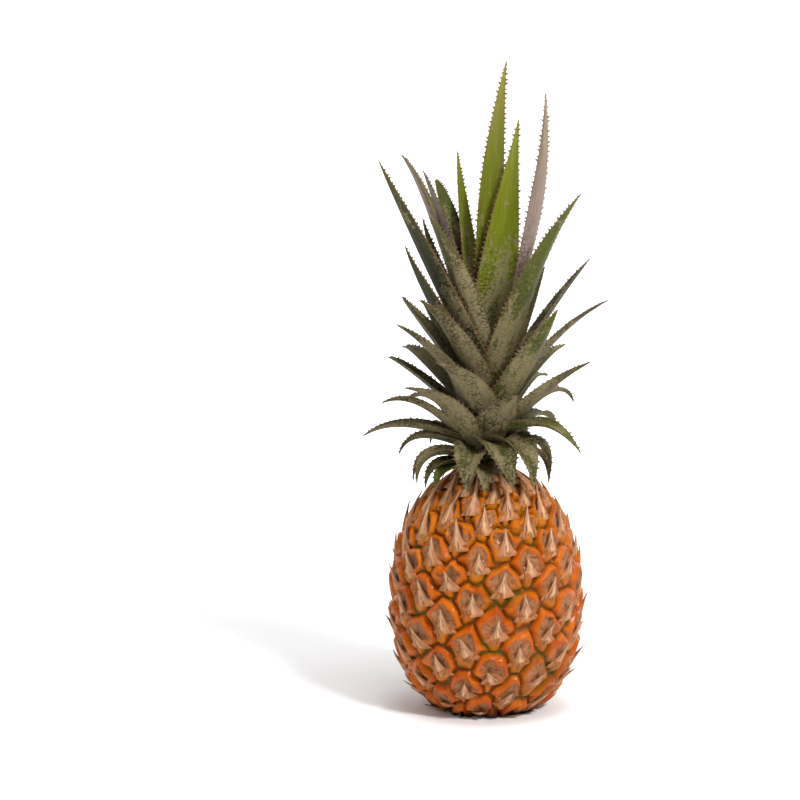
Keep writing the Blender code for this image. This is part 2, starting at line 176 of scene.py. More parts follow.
class Recipe:
    """A material's shader nodes, added step by step. Each step gives the socket that holds its result."""

    def __init__(self, name: str) -> None:
        """Starts a material with one Principled shader."""
        self.material = bpy.data.materials.new(name)
        self.material.use_nodes = True
        self.nodes = self.material.node_tree.nodes
        self.shader = self.nodes["Principled BSDF"]

    def set(self, socket: Socket, value: Value) -> None:
        """Gives an input a link or a constant.

        Args:
            socket: The input.
            value: Another node's output, or a constant.
        """
        if isinstance(value, Socket):
            self.material.node_tree.links.new(value, socket)
        else:
            socket.default_value = value

    def read(self, name: str) -> Socket:
        """A number that the mesh holds at each point.

        Args:
            name: The attribute's name.

        Returns:
            The number.
        """
        node = self.nodes.new("ShaderNodeAttribute")
        node.attribute_name = name
        return node.outputs["Fac"]

    def read_color(self, name: str) -> Socket:
        """A colour that the mesh holds at each point.

        Args:
            name: The attribute's name.

        Returns:
            The colour.
        """
        node = self.nodes.new("ShaderNodeAttribute")
        node.attribute_name = name
        return node.outputs["Color"]

    def place(self) -> Socket:
        """The point's own place, in the object's coordinates."""
        return self.nodes.new("ShaderNodeTexCoord").outputs["Object"]

    def work(self, operation: str, first: Value, second: Value = 0.0, third: Value = 0.0) -> Socket:
        """One sum on numbers.

        Args:
            operation: The math node's name for the sum.
            first: First number.
            second: Second number.
            third: Third number, for sums that take three.

        Returns:
            The sum's result.
        """
        node = self.nodes.new("ShaderNodeMath")
        node.operation = operation
        for socket, value in zip(node.inputs, (first, second, third)):
            self.set(socket, value)
        return node.outputs[0]

    def plus(self, first: Value, second: Value) -> Socket:
        """Two numbers added up."""
        return self.work("ADD", first, second)

    def times(self, first: Value, second: Value) -> Socket:
        """Two numbers multiplied."""
        return self.work("MULTIPLY", first, second)

    def size(self, value: Value) -> Socket:
        """A number without its sign."""
        return self.work("ABSOLUTE", value)

    def ramp(self, value: Value, low: float, high: float, start: float = 0.0, end: float = 1.0) -> Socket:
        """A smooth rise from start to end as value goes from low to high.

        Args:
            value: The number that goes from low to high.
            low: Where the rise starts. It may be above high.
            high: Where the rise ends.
            start: Result up to low.
            end: Result from high on.

        Returns:
            The risen number.
        """
        node = self.nodes.new("ShaderNodeMapRange")
        node.interpolation_type = "SMOOTHSTEP"
        settings = {"Value": value, "From Min": low, "From Max": high, "To Min": start, "To Max": end}
        for label, given in settings.items():
            self.set(node.inputs[label], given)
        return node.outputs["Result"]

    def spot(self, across: Value, along: Value, depth: Value = 0.0) -> Socket:
        """A vector made of three numbers.

        Args:
            across: First number.
            along: Second number.
            depth: Third number.

        Returns:
            The vector.
        """
        node = self.nodes.new("ShaderNodeCombineXYZ")
        for socket, value in zip(node.inputs, (across, along, depth)):
            self.set(socket, value)
        return node.outputs[0]

    def work_vector(self, vector: Value, push: Value) -> Socket:
        """A vector pushed along all three axes by a number.

        Args:
            vector: The vector.
            push: The number.

        Returns:
            The pushed vector.
        """
        node = self.nodes.new("ShaderNodeVectorMath")
        node.operation = "ADD"
        self.set(node.inputs[0], vector)
        self.set(node.inputs[1], push)
        return node.outputs[0]

    def noise(self, where: Value, scale: float, detail: float = 3.0, roughness: float = 0.6) -> Socket:
        """Cloudy noise of 0 to 1 about 0.5.

        Args:
            where: Place in the noise.
            scale: Clouds to a unit of place.
            detail: How many finer layers it has.
            roughness: Strength of the finer layers.

        Returns:
            The noise.
        """
        node = self.nodes.new("ShaderNodeTexNoise")
        self.set(node.inputs["Vector"], where)
        for label, given in zip(("Scale", "Detail", "Roughness"), (scale, detail, roughness)):
            self.set(node.inputs[label], given)
        return node.outputs["Fac"]

    def cracks(self, where: Value, scale: float, spread: float = 1.0) -> Socket:
        """Distance to the nearest side of uneven cells.

        Args:
            where: Place among the cells.
            scale: Cells to a unit of place.
            spread: Unevenness of the cells, 0 to 1.

        Returns:
            The distance, in cells.
        """
        node = self.nodes.new("ShaderNodeTexVoronoi")
        node.feature = "DISTANCE_TO_EDGE"
        self.set(node.inputs["Vector"], where)
        for label, given in zip(("Scale", "Randomness"), (scale, spread)):
            self.set(node.inputs[label], given)
        return node.outputs["Distance"]

    def blend(self, share: Value, first: Value, second: Value) -> Socket:
        """A colour a share of the way from first to second.

        Args:
            share: The share, 0 to 1.
            first: Colour at share 0.
            second: Colour at share 1.

        Returns:
            The blended colour.
        """
        node = self.nodes.new("ShaderNodeMix")
        node.data_type = "RGBA"
        for index, value in ((0, share), (6, first), (7, second)):
            self.set(node.inputs[index], value)
        return node.outputs[2]

    def bump(self, height: Value, distance: float, strength: float = 1.0) -> None:
        """Roughens the surface by a height of 0 to 1 times a distance.

        Args:
            height: The height.
            distance: The distance in metres.
            strength: Share of the effect.
        """
        node = self.nodes.new("ShaderNodeBump")
        self.set(node.inputs["Strength"], strength)
        self.set(node.inputs["Distance"], distance)
        self.set(node.inputs["Height"], height)
        self.set(self.shader.inputs["Normal"], node.outputs["Normal"])

    def finish(self, color: Value, roughness: Value, **constants: float | tuple) -> bpy.types.Material:
        """Sets the shader's colour and roughness, and any of its other inputs by name.

        Args:
            color: Base colour.
            roughness: Roughness.
            constants: Other inputs, with underscores for the spaces in their names.

        Returns:
            The finished material.
        """
        self.set(self.shader.inputs["Base Color"], color)
        self.set(self.shader.inputs["Roughness"], roughness)
        for name, value in constants.items():
            self.shader.inputs[name.replace("_", " ").title().replace("Ior", "IOR")].default_value = value
        return self.material


@dataclass(frozen=True)
class Barrel:
    """The fruit's side, turned about its axis, and the slight lean of the pattern on it."""

    radius: float = 54.6 * MM
    height: float = 134.0 * MM
    waist: float = 60.0 * MM
    lower: tuple[float, float] = (0.88, 2.4)
    upper: tuple[float, float] = (0.935, 2.58)
    runout: float = 8.0 * MM
    steps: int = 300
    lean: float = 5.0
    fade: float = 25.0 * MM

    def outline(self) -> tuple[Array, Array, Array]:
        """Radius R (1 - (c u)^p)^0.5 above and below the waist, run straight on past both ends.

        Returns:
            Heights, radii and arc lengths up the side.
        """
        heights = np.linspace(0.0, self.height, self.steps)
        low = heights < self.waist
        run = np.where(low, self.waist - heights, heights - self.waist)
        run = run / np.where(low, self.waist, self.height - self.waist)
        share = np.where(low, self.lower[0], self.upper[0])
        power = np.where(low, self.lower[1], self.upper[1])
        radii = self.radius * np.sqrt(1.0 - (share * run) ** power)
        low_slope = (radii[1] - radii[0]) / (heights[1] - heights[0])
        high_slope = (radii[-1] - radii[-2]) / (heights[-1] - heights[-2])
        first = radii[0] - self.runout * low_slope
        last = radii[-1] + self.runout * high_slope
        radii = np.concatenate(([first], radii, [last]))
        heights = np.concatenate(([-self.runout], heights, [self.height + self.runout]))
        arcs = np.concatenate(([0.0], np.cumsum(np.hypot(np.diff(heights), np.diff(radii)))))
        return heights, radii, arcs - arcs[1]

    def skin(self, azimuth: Array, arc: Array, raised: Array) -> Array:
        """Points of the skin: on the side at azimuths and arc lengths, raised along its normal.

        The pattern turns by the lean about the front-to-back axis, less and less towards both ends.

        Args:
            azimuth: Azimuths in radians.
            arc: Arc lengths up the side.
            raised: Distances out of the side.

        Returns:
            Points, with x, y and z along a new last axis.
        """
        heights, radii, arcs = self.outline()
        height = np.interp(arc, arcs, heights)
        radius = np.interp(arc, arcs, radii)
        fade = smooth_step(height / self.fade) * smooth_step((self.height - height) / self.fade)
        angle = math.radians(-self.lean) * fade
        flat = around(azimuth, radius, height - self.height / 2)
        side = flat[..., 0] * np.cos(angle) + flat[..., 2] * np.sin(angle)
        height = flat[..., 2] * np.cos(angle) - flat[..., 0] * np.sin(angle) + self.height / 2
        azimuth = np.arctan2(side, -flat[..., 1])
        step = 0.5 * MM
        slope = np.interp(height + step, heights, radii) - np.interp(height - step, heights, radii)
        outward = unit(around(azimuth, np.ones_like(azimuth), -slope / (2.0 * step)))
        return around(azimuth, np.interp(height, heights, radii), height) + outward * raised[..., None]


@dataclass(frozen=True)
class EyeSpirals:
    """Places of the eyes: each is a fixed turn on from the last and a little higher.

    Cells are six-sided. A cell's neighbours are the eyes 8 on (up to its right), 13 on (up to its left)
    and 21 on (above it), and as far back.
    """

    turn: float = 137.42
    first_azimuth: float = 3.7
    first_arc: float = 65.5 * MM
    rise: float = 1.225 * MM
    closing: float = 0.0017
    lowest: int = -66
    highest: int = 108
    right: int = 8
    left: int = 13
    above: int = 21
    share_above: float = 5 / 12
    share_beside: float = 1 / 6

    def arcs(self, count: Array) -> Array:
        """Arc lengths of eyes: first + rise k (1 - closing k)."""
        return self.first_arc + self.rise * count * (1.0 - self.closing * count)

    def turns(self, count: Array) -> Array:
        """Azimuths from one eye to another that many places on, in radians between -pi and pi."""
        return np.radians((count * self.turn + 180.0) % 360.0 - 180.0)

    def azimuths(self, count: Array) -> Array:
        """Azimuths of eyes in radians."""
        return math.radians(self.first_azimuth) + self.turns(count)

    def corner(self, count: Array, beside: int) -> tuple[Array, Array]:
        """Where cells meet the one above and the one beside: a weighted mean of the three centres.

        Args:
            count: Numbers of the lowest of the three eyes.
            beside: Places on to the eye beside it.

        Returns:
            Turn from that eye in radians, and arc length.
        """
        own = 1.0 - self.share_beside - self.share_above
        turn = self.share_beside * self.turns(beside) + self.share_above * self.turns(self.above)
        arc = own * self.arcs(count) + self.share_beside * self.arcs(count + beside)
        return turn, arc + self.share_above * self.arcs(count + self.above)

    def cell(self, count: Array) -> Array:
        """The six corners of cells, as turns and arc lengths from their centres, anticlockwise.

        Args:
            count: Eye numbers.

        Returns:
            An array with axes (eye, corner, turn or arc length).
        """
        keys = (
            (0, self.right),
            (0, self.left),
            (-self.right, self.right),
            (-self.above, self.left),
            (-self.above, self.right),
            (-self.left, self.left),
        )
        corners = []
        for step, beside in keys:
            turn, arc = self.corner(count + step, beside)
            corners.append(np.stack((self.turns(step) + turn + 0.0 * arc, arc - self.arcs(count)), axis=-1))
        return np.stack(corners, axis=-2)

    def locate(self, azimuth: Array, arc: Array, radius: Array) -> tuple[Array, Array, Array, Array]:
        """Finds the cell that holds each point: the one whose gauge is least.

        The gauge is the largest of the six distances towards the cell's sides, each over that side's own
        distance from the centre, so it is 0 at the centre and 1 on the outline.

        Args:
            azimuth: Azimuths of points in radians.
            arc: Their arc lengths.
            radius: The side's radius there.

        Returns:
            Eye numbers, gauges, and places right of and above the eye's centre in metres.
        """
        middle = (arc - self.first_arc) / self.rise
        middle = np.rint(middle * (1.0 + self.closing * middle))
        best = np.full(azimuth.shape, np.inf)
        found = [np.zeros(azimuth.shape) for _ in range(3)]
        for step in range(-26, 27):
            count = np.clip(middle + step, self.lowest, self.highest)
            turn = (azimuth - self.azimuths(count) + math.pi) % (2.0 * math.pi) - math.pi
            lift = arc - self.arcs(count)
            corners = self.cell(count)
            gauge = np.full(azimuth.shape, -np.inf)
            for side in range(6):
                first = corners[..., side, :]
                last = corners[..., (side + 1) % 6, :]
                across = last[..., 1] - first[..., 1]
                along = first[..., 0] - last[..., 0]
                reach = across * first[..., 0] + along * first[..., 1]
                gauge = np.maximum(gauge, (across * turn + along * lift) / reach)
            nearer = gauge < best
            best = np.where(nearer, gauge, best)
            for known, new in zip(found, (count, turn * radius, lift)):
                known[nearer] = np.broadcast_to(new, nearer.shape)[nearer]
        return found[0], best, found[1], found[2]

    def arch(self, azimuth: Array, arc: Array, radius: Array) -> Array:
        """How near each point lies to a slanting side of its cell: 0 at centres and corners, 1 on sides.

        With i and j the places along the ways to the eyes 8 and 13 on, it is
        sin^2(pi i) cos^2(pi j) + cos^2(pi i) sin^2(pi j).

        Args:
            azimuth: Azimuths of points in radians.
            arc: Their arc lengths.
            radius: The side's radius there.

        Returns:
            Numbers of 0 to 1.
        """
        count, _, across, lift = self.locate(azimuth, arc, radius)
        turn = across / radius
        first = (self.turns(self.right), self.arcs(count + self.right) - self.arcs(count))
        second = (self.turns(self.left), self.arcs(count + self.left) - self.arcs(count))
        area = first[0] * second[1] - first[1] * second[0]
        right = (turn * second[1] - lift * second[0]) / area
        left = (lift * first[0] - turn * first[1]) / area
        waves = np.sin(math.pi * right) ** 2, np.sin(math.pi * left) ** 2
        return waves[0] * (1.0 - waves[1]) + (1.0 - waves[0]) * waves[1]


class Draw:
    """Repeatable random numbers, one for each eye or leaf."""

    def __init__(self, seed: int) -> None:
        """Starts the draw from a seed."""
        self.source = np.random.default_rng(seed)

    def spread(self, low: float, high: float, count: int) -> Array:
        """Numbers spread evenly between two limits."""
        return self.source.uniform(low, high, count)


@dataclass(frozen=True)
class RindFinish:
    """Glossy orange skin round matte tan faces, with dark grooves between the eyes and painted shade on
    each face beside its bract's tip.
    """

    skin: tuple = linear(190, 91, 0)
    deep_skin: tuple = linear(168, 62, 0)
    light_skin: tuple = linear(182, 106, 0)
    face: tuple = linear(192, 132, 90)
    # Dark brown of the faces' fibres and specks, also used as painted shade beside each bract's tip
    face_marks_and_painted_shade: tuple = linear(96, 44, 22)
    straw: tuple = linear(180, 126, 82)
    straw_shade: tuple = linear(82, 44, 34)
    groove: tuple = linear(84, 44, 4)
    green: tuple = linear(58, 68, 12)
    underside: tuple = linear(40, 24, 16)
    gloss: tuple = (1.0, 0.55, 0.16, 1.0)

    def material(self) -> bpy.types.Material:
        """Builds the material from each point's place in its eye.

        Returns:
            The finished material.
        """
        mix_in = Recipe("rind")
        gauge = mix_in.read("gauge")
        across = mix_in.read("across")
        upward = mix_in.read("upward")
        chance = mix_in.read("chance")
        ripe = mix_in.read("ripe")
        place = mix_in.place()
        cloud = mix_in.noise(place, 90.0, 4.0)
        fine = mix_in.noise(place, 900.0, 4.0, 0.7)
        speck = mix_in.noise(place, 2600.0, 2.0, 0.6)
        blotch = mix_in.noise(place, 38.0, 2.0)
        color = mix_in.blend(mix_in.ramp(cloud, 0.35, 0.65), self.skin, self.deep_skin)
        yellow = mix_in.plus(ripe, mix_in.ramp(upward, 0.1, -0.9, 0.0, 0.8))
        yellow = mix_in.times(yellow, mix_in.ramp(blotch, 0.3, 0.6, 0.5, 1.0))
        color = mix_in.blend(mix_in.work("MINIMUM", yellow, 1.0), color, self.light_skin)
        jitter = mix_in.work("MULTIPLY_ADD", fine, 0.3, -0.15)
        wander = mix_in.work("MULTIPLY_ADD", mix_in.noise(place, 260.0, 2.0), 0.36, -0.18)
        jitter = mix_in.plus(jitter, wander)
        ragged = mix_in.plus(gauge, jitter)
        upper = mix_in.ramp(mix_in.plus(upward, jitter), -0.2, 0.05)
        in_face = mix_in.times(mix_in.ramp(ragged, 0.64, 0.46), upper)
        above_foot = mix_in.plus(upward, 0.08)
        bearing = mix_in.work("ARCTAN2", across, above_foot)
        out = mix_in.plus(mix_in.size(across), mix_in.size(above_foot))
        ray_place = mix_in.spot(mix_in.times(bearing, 5.0), mix_in.times(out, 2.6), chance)
        rays = mix_in.noise(ray_place, 1.0, 4.0, 0.7)
        narrowing = mix_in.work("MAXIMUM", mix_in.work("SUBTRACT", 1.05, upward), 0.25)
        spread = mix_in.work("DIVIDE", across, narrowing)
        spread_place = mix_in.spot(mix_in.times(spread, 22.0), mix_in.times(upward, 2.4), chance)
        threads = mix_in.noise(spread_place, 1.0, 4.0, 0.7)
        face = mix_in.blend(mix_in.ramp(rays, 0.46, 0.70, 0.0, 0.85), self.face, self.face_marks_and_painted_shade)
        face = mix_in.blend(mix_in.ramp(speck, 0.5, 0.7, 0.0, 0.4), face, self.face_marks_and_painted_shade)
        # Painted shade: each face darkens close to its bract's tip, on both sides of the ridge
        face = mix_in.blend(mix_in.ramp(out, 0.34, 0.08, 0.0, 0.85), face, self.face_marks_and_painted_shade)
        color = mix_in.blend(in_face, color, face)
        fan = mix_in.blend(mix_in.ramp(threads, 0.46, 0.60, 0.0, 0.9), self.straw, self.straw_shade)
        lower = mix_in.work("SUBTRACT", 1.0, upper)
        inside = mix_in.ramp(ragged, 0.84, 0.50)
        in_fan = mix_in.times(mix_in.times(lower, inside), mix_in.ramp(threads, 0.3, 0.5, 1.0, 0.75))
        color = mix_in.blend(in_fan, color, fan)
        rim = mix_in.ramp(mix_in.work("MULTIPLY_ADD", fine, 0.08, gauge), 0.88, 1.04)
        line = mix_in.blend(mix_in.ramp(blotch, 0.52, 0.62), self.groove, self.green)
        color = mix_in.blend(rim, color, line)
        moss = mix_in.times(mix_in.read("moss"), mix_in.ramp(gauge, 0.55, 0.95))
        color = mix_in.blend(moss, color, self.green)
        # Darker in the lowest six millimetres, towards the bottom of the fruit
        color = mix_in.blend(mix_in.read("under"), color, self.underside)
        dull = mix_in.work("MAXIMUM", in_face, in_fan)
        dull = mix_in.work("MAXIMUM", dull, mix_in.read("under"))
        roughness = mix_in.work("MULTIPLY_ADD", dull, 0.55, mix_in.ramp(fine, 0.3, 0.7, 0.22, 0.36))
        hairs = mix_in.plus(mix_in.times(rays, in_face), mix_in.times(threads, in_fan))
        relief = mix_in.times(mix_in.plus(speck, hairs), mix_in.ramp(dull, 0.0, 1.0, 0.12, 1.0))
        relief = mix_in.work("MULTIPLY_ADD", fine, 0.5, relief)
        mix_in.bump(relief, 0.9 * MM)
        return mix_in.finish(
            color,
            roughness,
            coat_weight=0.14,
            coat_roughness=0.08,
            specular_ior_level=0.45,
            specular_tint=self.gloss,
        )


@dataclass(frozen=True)
class Rind:
    """The fruit's covering: a closed relief surface with a rounded lip round each eye's sunken face."""

    barrel: Barrel = Barrel()
    spirals: EyeSpirals = EyeSpirals()
    finish: RindFinish = RindFinish()
    columns: int = 416
    rows: int = 214
    margin: float = 4.0 * MM
    groove_depth: float = 3.8 * MM
    pillow_power: float = 5.0
    lip_height: float = 1.7 * MM
    face_depth: float = 1.5 * MM
    keel_height: float = 1.6 * MM
    cell_reach: float = 13.0 * MM
    bulge: float = 2.4 * MM
    unevenness: float = 1.0 * MM
    hollow_radius: float = 13.0 * MM
    hollow_depth: float = 2.6 * MM
    # Azimuth and its spread in radians, then height and its spread
    moss_spots: tuple = ((0.62, 0.3, 30.0 * MM, 14.0 * MM), (0.2, 0.25, 78.0 * MM, 9.0 * MM))
    seed: int = 11

    def relief(self, gauge: Array, across: Array, upward: Array, boldness: Array) -> Array:
        """Height of the surface in an eye: a pillow, -depth g^n, with a lip, a sunken face and a keel.

        Args:
            gauge: 0 at the eye's centre and 1 in its groove.
            across: Place right of the centre, as a share of the cell's reach.
            upward: Place above the centre, as a share of the cell's reach.
            boldness: Factor on the lip and the face of each eye.

        Returns:
            Heights out of the barrel in metres.
        """
        pillow = -self.groove_depth * np.clip(gauge, 0.0, 1.05) ** self.pillow_power
        upper = smooth_step((upward + 0.35) / 0.5)
        lip = self.lip_height * np.exp(-(((gauge - 0.68) / 0.20) ** 2)) * upper
        face = self.face_depth * smooth_step((0.66 - gauge) / 0.22) * smooth_step((upward + 0.5) / 0.4)
        keel = self.keel_height * np.exp(-((across / 0.3) ** 2)) * smooth_step((0.15 - upward) / 0.4)
        return pillow + (lip - face) * boldness + keel * (1.0 - gauge)

    def build(self) -> bpy.types.Object:
        """Makes the rind: rows up the side, cut flat at both ends, then in to the axis.

        Returns:
            The rind.
        """
        draw = Draw(self.seed)
        heights, radii, arcs = self.barrel.outline()
        low_arc = -self.margin
        high_arc = float(np.interp(self.barrel.height, heights, arcs)) + self.margin
        arc = np.linspace(low_arc, high_arc, self.rows)[:, None]
        azimuth = np.linspace(-math.pi, math.pi, self.columns, endpoint=False)[None, :]
        arc, azimuth = np.broadcast_arrays(arc, azimuth)
        radius = np.interp(arc, arcs, radii)
        sway = np.sin(17.0 * azimuth + arc * 61.0) + np.sin(29.0 * azimuth - arc * 143.0 + 1.0)
        swell = np.sin(23.0 * azimuth + arc * 97.0 + 2.0) + np.sin(11.0 * azimuth - arc * 181.0)
        bulged = arc - self.bulge * self.spirals.arch(azimuth, arc, radius) + self.unevenness * swell
        swayed = azimuth + self.unevenness * sway / radius
        count, gauge, across, upward = self.spirals.locate(swayed, bulged, radius)
        across = across / self.cell_reach
        upward = upward / self.cell_reach
        number = (count - self.spirals.lowest).astype(int)
        eyes = self.spirals.highest - self.spirals.lowest + 1
        boldness = draw.spread(0.6, 1.25, eyes)[number]
        chance = draw.spread(0.0, 40.0, eyes)[number]
        raised = self.relief(gauge, across, upward, boldness)
        points = self.barrel.skin(azimuth, arc, raised)
        points[..., 2] = np.clip(points[..., 2], 0.0, self.barrel.height)
        height = points[..., 2]
        ripe = smooth_step((height - 70.0 * MM) / (60.0 * MM)) * 0.6
        under = 1.0 - smooth_step((height - 1.0 * MM) / (5.0 * MM))
        patches = np.zeros(azimuth.shape)
        for turn, spread, level, reach in self.moss_spots:
            patches = patches + np.exp(-((azimuth - turn) / spread) ** 2 - ((height - level) / reach) ** 2)
        values = {"gauge": gauge, "across": across, "upward": upward, "chance": chance, "ripe": ripe}
        values.update({"under": under, "moss": np.clip(patches, 0.0, 1.0) * 0.9})
        return self.close(points, values).to_piece("rind", self.finish.material())

    def close(self, points: Array, values: dict[str, Array]) -> Surface:
        """Adds the hollowed base below the side's rows and the flat top above them, out to two poles.

        Args:
            points: The side's points by row and column.
            values: The named values of those points.

        Returns:
            The closed surface.
        """
        direction = points[0, :, :2] / np.linalg.norm(points[0, :, :2], axis=1, keepdims=True)
        rim = np.concatenate((direction * self.hollow_radius, np.zeros((self.columns, 1))), axis=1)
        roof = rim + np.array((0.0, 0.0, self.hollow_depth))
        base = [mix(roof, roof * (0.0, 0.0, 1.0), 0.6), roof, rim]
        base += [mix(rim, points[0], share) for share in (0.15, 0.4, 0.7)]
        top = [mix(points[-1], points[-1] * (0.0, 0.0, 1.0), share) for share in (0.25, 0.5, 0.75)]
        rows = np.concatenate((np.stack(base), points, np.stack(top)))
        poles = np.array(((0.0, 0.0, self.hollow_depth), (0.0, 0.0, self.barrel.height)))
        flat = rows.reshape(-1, 3)
        grown = {}
        for name, numbers in values.items():
            below = np.repeat(numbers[:1], len(base), axis=0)
            over = np.repeat(numbers[-1:], len(top), axis=0)
            whole = np.concatenate((below, numbers, over)).ravel()
            grown[name] = np.concatenate((whole, [whole[0], whole[-1]]))
        ring = np.arange(self.columns)
        last = ring + (len(rows) - 1) * self.columns
        bottom = fan_faces(ring[::-1], len(flat))
        triangles = np.concatenate((bottom, fan_faces(last, len(flat) + 1)))
        quads = sheet_faces(len(rows), self.columns, True)
        return Surface(np.concatenate((flat, poles)), quads, triangles, grown)


@dataclass(frozen=True)
class BractFinish:
    """Dry papery straw, with brown threads that fan out from the tip, a painted highlight along the crest,
    and edges darkened partly by their own brown and partly by painted shade.
    """

    straw: tuple = linear(182, 126, 84)
    pale_tip_and_painted_highlight: tuple = linear(218, 176, 136)
    thread_and_painted_edge_shade: tuple = linear(92, 52, 38)
    rosy: tuple = linear(172, 116, 86)
    root: tuple = linear(186, 124, 74)

    def material(self) -> bpy.types.Material:
        """Builds the material from each point's place on its bract.

        Returns:
            The finished material.
        """
        mix_in = Recipe("bract")
        across = mix_in.read("across")
        along = mix_in.read("along")
        chance = mix_in.read("chance")
        thread_place = mix_in.spot(mix_in.times(across, 5.5), mix_in.times(along, 2.6), chance)
        threads = mix_in.noise(thread_place, 1.0, 4.0, 0.7)
        grain = mix_in.noise(mix_in.place(), 1500.0, 3.0, 0.6)
        color = mix_in.blend(mix_in.ramp(grain, 0.4, 0.65), self.straw, self.rosy)
        # Painted highlight: the crest of the ridge is painted paler along its length; the paler tip is the
        # bract's own colour
        crest = mix_in.ramp(mix_in.size(across), 0.5, 0.05, 0.0, 0.8)
        light = mix_in.work("MAXIMUM", crest, mix_in.ramp(along, 0.45, 0.9, 0.0, 0.8))
        color = mix_in.blend(light, color, self.pale_tip_and_painted_highlight)
        color = mix_in.blend(mix_in.ramp(threads, 0.50, 0.64, 0.0, 0.9), color, self.thread_and_painted_edge_shade)
        # Darker edges: partly the bracts' own brown margins, partly painted shade on the flanks that fall
        # away from the ridge
        brown_edge_and_painted_shade = mix_in.ramp(mix_in.size(across), 0.6, 1.0, 0.0, 0.8)
        color = mix_in.blend(mix_in.times(brown_edge_and_painted_shade, mix_in.ramp(along, 0.2, 0.5)), color, self.thread_and_painted_edge_shade)
        foot = mix_in.times(mix_in.ramp(along, 0.34, 0.02), mix_in.ramp(threads, 0.35, 0.6, 1.0, 0.2))
        color = mix_in.blend(foot, color, self.root)
        mix_in.bump(mix_in.plus(threads, mix_in.times(grain, 0.4)), 0.5 * MM)
        return mix_in.finish(color, 0.75, specular_ior_level=0.15)


@dataclass(frozen=True)
class Bracts:
    """The pointed papery bract of each eye: a concave-sided keel that springs up over the eye's face."""

    barrel: Barrel = Barrel()
    spirals: EyeSpirals = EyeSpirals()
    finish: BractFinish = BractFinish()
    columns: int = 7
    rows: int = 9
    foot: float = -7.5 * MM
    length: float = 14.0 * MM
    half_width: float = 8.4 * MM
    waist_power: float = 1.6
    sunk: float = 0.2 * MM
    rise: float = 3.3 * MM
    keel: float = 2.2 * MM
    thickness: float = 0.35 * MM
    seed: int = 23

    def build(self) -> bpy.types.Object:
        """Makes all the bracts as one piece, each a thin closed blade on its own eye.

        Returns:
            The bracts.
        """
        draw = Draw(self.seed)
        count = np.arange(self.spirals.lowest + 4, self.spirals.highest - 2)
        number = len(count)
        arc = self.spirals.arcs(count)[:, None, None]
        azimuth = self.spirals.azimuths(count)[:, None, None]
        heights, radii, arcs = self.barrel.outline()
        level = np.interp(arc, arcs, heights)
        high = smooth_step((level - 88.0 * MM) / (40.0 * MM))
        length = self.length * draw.spread(0.8, 1.2, number)[:, None, None] * (1.0 + 0.5 * high)
        lean = draw.spread(-2.6, 2.6, number)[:, None, None] * MM
        flick = draw.spread(-1.2, 2.6, number)[:, None, None] * MM * (1.0 + 1.0 * high)
        along = np.linspace(0.0, 1.0, self.rows)[None, :, None]
        across = np.linspace(-1.0, 1.0, self.columns)[None, None, :]
        ragged = draw.source.uniform(0.86, 1.12, (number, self.rows, 2))
        ragged = np.where(across < 0.0, ragged[..., :1], ragged[..., 1:])
        width = self.half_width * (1.0 - along) ** self.waist_power
        width = (width + 0.3 * MM * smooth_step((1.0 - along) * 8.0)) * ragged
        width = width * (1.0 - 0.25 * high)
        right = across * width + lean * along ** 2.2
        upward = self.foot + length * along
        crest = -self.sunk + self.rise * along ** 0.8 + flick * along ** 3.0
        raised = crest - self.keel * (1.0 - along) ** 0.7 * np.abs(across) ** 1.5
        places = np.broadcast_arrays(azimuth + right / np.interp(arc, arcs, radii), arc + upward, raised)
        front = self.barrel.skin(*places)
        slim = self.thickness * (1.0 - 0.6 * along)
        back = self.barrel.skin(places[0], places[1], places[2] - slim)
        shape = places[0].shape
        values = {
            "across": np.broadcast_to(across, shape),
            "along": np.broadcast_to(along, shape),
            "chance": np.broadcast_to(draw.spread(0.0, 60.0, number)[:, None, None], shape),
        }
        front[..., 2] = np.maximum(front[..., 2], 0.1 * MM)
        back[..., 2] = np.maximum(back[..., 2], 0.1 * MM)
        parts = []
        for index in range(number):
            own = {name: numbers[index] for name, numbers in values.items()}
            parts.append(self.leaflet(front[index], back[index], own))
        return Surface.joined(parts).to_piece("bracts", self.finish.material())

    def leaflet(self, front: Array, back: Array, values: dict[str, Array]) -> Surface:
        """One closed blade: the front sheet, the back sheet turned over, and a band round their edge.

        Args:
            front: Points of the outer face by row and column.
            back: Points of the inner face.
            values: Named values of the outer face's points.

        Returns:
            The closed surface.
        """
        faces = sheet_faces(self.rows, self.columns)
        size = self.rows * self.columns
        ids = np.arange(size).reshape(self.rows, self.columns)
        edge = np.concatenate((ids[0, :-1], ids[:-1, -1], ids[-1, :0:-1], ids[:0:-1, 0]))
        after = np.roll(edge, -1)
        band = np.stack((after, edge, edge + size, after + size), axis=-1)
        quads = np.concatenate((faces, faces[:, ::-1] + size, band))
        points = np.concatenate((front.reshape(-1, 3), back.reshape(-1, 3)))
        doubled = {name: np.tile(numbers.ravel(), 2) for name, numbers in values.items()}
        return Surface(points, quads, np.zeros((0, 3), int), doubled)


class Tone(Enum):
    """A leaf's colours: inner and outer face, how much grey scurf each bears, how red its margins are."""

    FRESH = (linear(106, 112, 18), linear(100, 102, 40), 0.6, 0.7, 0.8)
    BRIGHT = (linear(112, 120, 10), linear(104, 106, 34), 0.8, 0.7, 0.5)
    OLIVE = (linear(90, 98, 22), linear(86, 90, 30), 0.3, 0.5, 0.2)
    MOSSY = (linear(54, 58, 20), linear(60, 60, 34), 0.35, 0.55, 0.4)
    GREY = (linear(78, 76, 30), linear(84, 76, 40), 0.45, 0.65, 0.06)
    SCURFY = (linear(78, 82, 30), linear(86, 82, 44), 0.5, 0.85, 0.1)
    ROSY = (linear(110, 100, 66), linear(156, 136, 126), 0.5, 0.75, 0.2)
    DUSKY = (linear(60, 58, 32), linear(70, 62, 42), 0.35, 0.6, 0.1)


